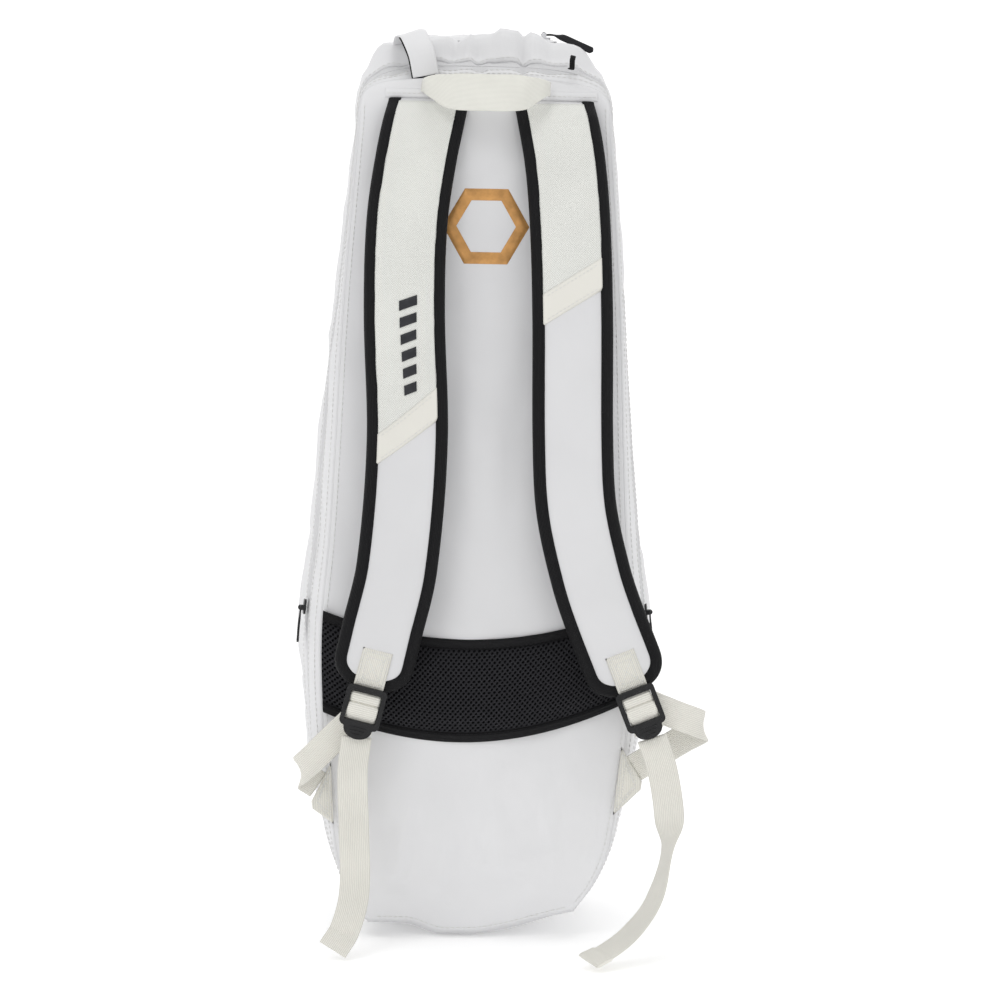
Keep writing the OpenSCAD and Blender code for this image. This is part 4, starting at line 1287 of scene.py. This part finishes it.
def lock_outlines():
    """Outline of the lock's frame with its half-round thumb tab, and its window, as (x, z) points."""
    top = [p for p in rounded_outline(16.2, 0.4, -40, 2.6) if p[1] > -10]
    right, left = [p for p in top if p[0] > 0], [p for p in top if p[0] < 0]
    angles = np.linspace(0, math.pi / 2, 6)
    corner = [(-12.4 - 3.8 * math.cos(a), -29 - 4.0 * math.sin(a)) for a in angles]
    tab = [(11.4 * math.cos(a), -34 - 8.6 * math.sin(a)) for a in np.linspace(math.pi, 0, 19)]
    shape = right + left + corner + tab + [(-x, z) for x, z in corner[::-1]]
    return shape, rounded_outline(13.4, -3.6, -28.6, 1.4)


def lock_frame(name, place):
    """Frame of the lock, filled between its outline and its window."""
    data = bpy.data.curves.new(name, "CURVE")
    data.dimensions = "2D"
    data.fill_mode = "BOTH"
    data.extrude = 1.9
    data.bevel_depth = 0.6
    data.bevel_resolution = 2
    for points in lock_outlines():
        spline = data.splines.new("POLY")
        spline.points.add(len(points) - 1)
        for spot, (x, z) in zip(spline.points, points):
            spot.co = (x, z, 0, 1)
        spline.use_cyclic_u = True
    obj = add_object(name, data)
    bpy.context.view_layer.update()
    mesh = bpy.data.meshes.new_from_object(obj.evaluated_get(bpy.context.evaluated_depsgraph_get()))
    bpy.data.objects.remove(obj)
    verts = np.array([v.co for v in mesh.vertices])
    local = np.stack([verts[:, 0], -verts[:, 2] - 0.6, verts[:, 1]], axis=1)
    faces = [list(p.vertices) for p in mesh.polygons]
    return build(name, put(local, place), faces, local[:, [0, 2]], [PLASTIC], flat=True)


def thread_band(name, points, place):
    """Webbing along (y, z) points of a lock's frame."""
    dist = run_along(points)
    s = np.linspace(0, dist[-1], 40)
    yz = curve(list(zip(dist, points)), s)
    ahead = unit(np.gradient(yz, axis=0))
    face = pair(-ahead[:, 1], ahead[:, 0])
    u = np.linspace(-1, 1, 18)
    half = 0.85 * band_edge(u)
    grids = []
    for sign in (1, -1):
        y = yz[:, None, 0] + sign * face[:, None, 0] * half[None]
        z = yz[:, None, 1] + sign * face[:, None, 1] * half[None]
        local = xyz(u[None] * WEB_W / 2, y, z)
        grids.append(put(local, place))
    uv = pair(s[:, None], u[None] * WEB_W / 2)
    return slab(name, grids[1], uv, 0, [WEBBING], inner=grids[0])


def make_lock(side):
    """Ladder lock with the webbing threaded through it."""
    place = lock_place(side)
    parts = [lock_frame(f"{side}_frame", place),
             box_piece("middle_bar", (29, 2.6, 3.0), (0, 0.4, -17.5), PLASTIC, place, 0.8),
             box_piece("grip_1", (15, 1.0, 1.1), (0, -3.3, -33.5), PLASTIC, place, 0.4),
             box_piece("grip_2", (13, 1.0, 1.1), (0, -3.3, -36.3), PLASTIC, place, 0.4),
             box_piece("grip_3", (9, 1.0, 1.1), (0, -3.3, -39.1), PLASTIC, place, 0.4)]
    piece = join(f"{side}_lock_body", parts)
    mount(piece, f"{side}_lock", "black_plastic", f"{side}_ladder_lock")
    path = [(4.6, -9), (2.4, -13.2), (-1.8, -14.8), (-2.6, -17.5), (-2.4, -22), (0.6, -27), (2.9, -31),
            (3.2, -38)]
    band = thread_band(f"{side}_lock_webbing", path, place)
    mount(band, f"{side}_lock", "cream_webbing", f"{side}_threaded_webbing")


def make_tab(side):
    """Box-stitched patch on the strap's end whose loop goes round the lock's top bar."""
    place = lock_place(side)
    path = [(2.9, 10), (3.0, 4), (3.1, 0), (2.2, -4.2), (-0.4, -5.8), (-1.2, -8.5), (-0.6, -12.4),
            (1.4, -13.6)]
    loop = thread_band("loop", path, place)
    corners = [(-12.6, 0), (12.6, 0), (12.6, 32), (-12.6, 32)]
    parts = patch("patch", corners, 3.4, 1.9, 2.2)
    for part in parts:
        verts = np.array([v.co for v in part.data.vertices]) / MM
        moved = put(verts, place) * MM
        part.data.vertices.foreach_set("co", moved.astype(np.float32).ravel())
    piece = join(f"{side}_strap_patch", [loop] + parts)
    mount(piece, f"{side}_strap", "cream_webbing", f"{side}_strap_tab")


# ---------- lumbar pad ----------

PAD_HALF = 0.985
PAD_TAPE = 9


def pad_low(u):
    """Lower edge of the pad, u from -1 to 1 across the back."""
    return 174 + 30 * (u + 0.1) ** 2


def pad_high(u):
    """Upper edge of the pad, u from -1 to 1 across the back."""
    return 260 + 26 * (u + 0.06) ** 2


def pad_back(u, z):
    """Depth of the back's smooth cloth behind the pad."""
    return curve(BACK_TABLE, z) - PANEL_CROWN * (1 - u ** 2)


def make_lumbar_pad():
    """Spacer-mesh pad: crowned foam under a net of diamond holes, with painted shade inside the holes."""
    pitch, fine = 4.3, 0.62
    cols, rows = int(262 / fine), int(92 / fine)
    u = np.linspace(-PAD_HALF, PAD_HALF, cols)[None, :]
    v = np.linspace(0, 1, rows)[:, None]
    low, high = pad_low(u) + PAD_TAPE - 2, pad_high(u) - PAD_TAPE + 2
    z = lerp(low, high, v)
    x = u * seam_half(z)
    crown = (1 - (2 * v - 1) ** 4) * (1 - (u / PAD_HALF) ** 6)
    height = 3.6 + 10.5 * crown
    run = z - pad_low(u)
    weave = np.cos(2 * math.pi * (x / pitch + 0.5)) * np.cos(2 * math.pi * (run / (pitch * 1.15)))
    holes = smooth(0.1, 0.7, -weave)
    bulge = 0.9 * noise(xyz(x, 0 * x, z), 60, 41) * crown
    y = pad_back(u, z) - height - bulge + 1.9 * holes
    outer = xyz(x, y, z)
    inner = xyz(x, pad_back(u, z) - 1.6, z)
    uv = pair(x, run)
    piece = slab("lumbar_mesh_pad", outer, uv, 0, [MESH, MESH_HOLE_SHADE], inner=inner)
    # faces deep in the holes take the near-black material as painted shade
    hole_shade_faces = (holes[1:, 1:] + holes[:-1, :-1] > 0.7).ravel()
    index = np.ones(len(piece.data.polygons), np.int32)
    index[:len(hole_shade_faces)] = hole_shade_faces
    piece.data.polygons.foreach_set("material_index", index)
    mount(piece, "bag", "black_mesh", "lumbar_pad")


def make_lumbar_edge():
    """Round binding along the pad's lower and upper edge, with its stitch line."""
    parts = []
    for sign, line in ((-1, pad_low), (1, pad_high)):
        s = np.linspace(-PAD_HALF, PAD_HALF, 150)[:, None]
        a = turns(14)[None, :]
        across = PAD_TAPE / 2 * signed_pow(np.cos(a), 0.6)
        z = line(s) + sign * (across - PAD_TAPE / 2 + 0.5)
        up = 3.0 + 2.7 * signed_pow(np.sin(a), 0.7)
        x = s * seam_half(z)
        ring = xyz(x, pad_back(s, z) - up, z)
        uv = pair(a * 3, s * 130)
        parts.append(tube(f"edge{sign}", ring if sign > 0 else ring[:, ::-1], [BINDING], uv))
        s = s[:, 0]
        z = line(s) - sign * 6.6
        seam = xyz(s * seam_half(z), pad_back(s, z) - 5.9, z)
        parts.append(stitches(f"edge_thread{sign}", seam, BACKWARD, BLACK_THREAD, *TAPE_STITCH))
    edge = join("lumbar_edge_binding", parts)
    mount(edge, "bag", "black_tape", "lumbar_edge_tape")


# ---------- marks, pocket and inside ----------

def make_emblem():
    """Generic bronze print: a hexagonal ring that lies on the cloth."""
    centre = (2, 606)
    a = turns(120)[:, None]
    facet = np.cos(math.pi / 6) / np.cos((a + math.pi / 6) % (math.pi / 3) - math.pi / 6)
    r = np.array([24.8, 25.2, 30.5, 35.8, 36.2, 36.0, 25.0])[None]
    lift = np.array([0.0, 0.35, 0.42, 0.35, 0.0, -0.5, -0.5])[None]
    x = centre[0] + r * facet * np.sin(a)
    z = centre[1] + r * facet * np.cos(a)
    rings = back_point(x, z, lift + 0 * x)
    piece = tube("emblem_print", rings, [BRONZE], pair(x, z), looped=True)
    mount(piece, "bag", "bronze_print", "emblem")


def make_pocket():
    """Padded pocket on the lid: crowned, with its stitch line."""
    half, low, high = 0.78, 305, 560
    u = np.linspace(-1, 1, 61)[None, :]
    z = np.linspace(low, high, 75)[:, None]
    v = (z - low) / (high - low) * 2 - 1
    x = -u * half * seam_half(z)
    crown = (1 - u ** 6) * (1 - v ** 8)
    lift = 1.6 + 7.2 * crown + 0.9 * noise(xyz(x, 0 * x, z), 55, 45) * crown
    outer = front_point(x, z, lift)
    inner = front_point(x, z, -0.5 + 0 * x)
    uv = pair(x, z)
    body = slab("pocket", outer, uv, 0, [BODY], inner=inner)
    s = np.linspace(0, 1, 60)
    ring = [xyz(lerp(-1, 1, s), 0, 0 * s + low + 5), xyz(0 * s + 1, 0, lerp(low + 5, high - 5, s)),
            xyz(lerp(1, -1, s), 0, 0 * s + high - 5), xyz(0 * s - 1, 0, lerp(high - 5, low + 5, s))]
    ring = np.concatenate(ring)
    x = ring[:, 0] * (half * seam_half(ring[:, 2]) - 5)
    thread = stitches("pocket_thread", front_point(x, ring[:, 2], 4.3), (0, 1, 0), THREAD, radius=0.34)
    mount(body, LID_CLOTH, "coated_fabric", "front_pocket")
    mount(thread, LID_CLOTH, "coated_fabric")


def inner_sheet(name, y, z0, z1, edge, bulge, mat, thickness):
    """Soft sheet inside the bag that follows the seam outline, inset by edge."""
    z = np.linspace(z0, z1, 90)[:, None]
    u = np.linspace(-1, 1, 50)[None, :]
    x = u * (seam_half(z) - edge)
    rim = np.minimum(1 - np.abs(u), np.minimum(z - z0, z1 - z) / 60)
    soft = smooth(0, 0.25, rim)
    swell_out = bulge * soft * (1 + 0.3 * noise(xyz(x, 0 * x, z), 90, 47))
    outer = settle(xyz(x, y - swell_out, z))
    inner = settle(xyz(x, y + thickness + swell_out, z))
    uv = pair(x, z)
    return slab(name, outer, uv, 0, [mat], inner=inner)


def make_inside():
    """Divider, lining and base board; the boards behind the back keep their CAD shape."""
    divider = inner_sheet("padded_divider_cloth", -65.5, 12, 500, 10, 1.2, LINING, 3.0)
    mount(divider, "bag", "foam", "padded_divider")
    lining = inner_sheet("back_lining_cloth", -100.6, 92, 690, 11, 0.4, LINING, 0.9)
    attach(lining, "bag")
    x, y = np.linspace(-60, 60, 40)[None, :], np.linspace(-64, 64, 30)[:, None]
    uv = pair(x, y)
    board = slab("base_board", settle(xyz(x, y, 6.0)), uv, 0, [BOARD], inner=settle(xyz(x, y, 3.6)))
    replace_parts(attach(board, "bag"), "base_stiffener")
    for node, mat in (("back_foam", FOAM), ("back_stiffener", BOARD)):
        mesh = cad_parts[node].data
        mesh.materials.clear()
        mesh.materials.append(mat)


# ---------- stage ----------

def make_world():
    """Even white surroundings."""
    world = bpy.data.worlds.new("studio")
    bpy.context.scene.world = world
    world.use_nodes = True
    sky = world.node_tree.nodes["Background"].inputs
    sky["Color"].default_value = (1, 1, 1, 1)
    sky["Strength"].default_value = 0.8


def make_floor():
    """Pale floor that curves up behind the bag."""
    m = Nodes("pale_floor", (0.96, 0.96, 0.96), 0.95)
    tone = m.ramp(m.noise(3, 2), [(0.3, (0.95, 0.95, 0.95)), (0.7, (0.97, 0.97, 0.97))])
    m.shader.inputs["Emission Color"].default_value = (1, 1, 1, 1)
    m.shader.inputs["Emission Strength"].default_value = 0.2
    mesh = bpy.data.meshes.new("floor")
    profile = [(-5, 0), (2.2, 0), (2.7, 0.07), (3.1, 0.27), (3.3, 0.6), (3.35, 1.2), (3.35, 7)]
    verts = [(x, y, z) for y, z in profile for x in (-7, 7)]
    faces = [(2 * k, 2 * k + 1, 2 * k + 3, 2 * k + 2) for k in range(len(profile) - 1)]
    mesh.from_pydata(verts, [], faces)
    mesh.polygons.foreach_set("use_smooth", [True] * len(mesh.polygons))
    mesh.materials.append(m.finish(tone))
    add_object("floor", mesh)


LIGHTS = [  # name, place and size in metres, power
    ("key", (-1.3, -2.4, 2.7), 1.0, 12),
    ("fill", (2.4, -1.8, 1.2), 1.6, 1.5),
    ("rim", (0.3, 1.8, 2.6), 1.6, 4),
    ("top", (0, -0.3, 3.0), 1.0, 8),
]


def make_lights():
    """Area lights that all face the middle of the bag."""
    for name, place, size, power in LIGHTS:
        light = bpy.data.lights.new(name, "AREA")
        light.size = size
        light.energy = power
        obj = add_object(name, light)
        obj.location = place
        obj.rotation_euler = (Vector((0, 0, 0.4)) - Vector(place)).to_track_quat("-Z", "Y").to_euler()


def make_camera():
    """Long lens, a little above the middle and a little to the left."""
    camera = bpy.data.cameras.new("camera")
    camera.lens = 93.5
    obj = add_object("camera", camera)
    place = Vector((-0.0667, -2.2939, 0.4916))
    target = Vector((0.0226, 0, 0.3712))
    look = (target - place).to_track_quat("-Z", "Y").to_matrix()
    look = look @ Matrix.Rotation(math.radians(1.0), 3, "Z")
    obj.matrix_world = Matrix.Translation(place) @ look.to_4x4()
    bpy.context.scene.camera = obj
    bpy.context.scene.view_settings.view_transform = "Standard"


make_world()
make_floor()
make_lights()
make_camera()
make_panels()
make_gussets()
seam_threads()
base()
make_zips()
for strap_side, strap_path in PATHS.items():
    make_pad(strap_side, strap_path)
    make_binding(strap_side, strap_path)
    make_lock(strap_side)
    make_tab(strap_side)
make_overlay("left", LEFT_PATH, 306, 268, 24)
make_overlay("right", RIGHT_PATH, 188, 159, 24)
make_mark(LEFT_PATH)
make_webbing()
make_handle()
make_hang_loop()
make_small_loop()
make_strap_seam()
make_anchors()
make_lumbar_pad()
make_lumbar_edge()
make_emblem()
make_pocket()
make_inside()
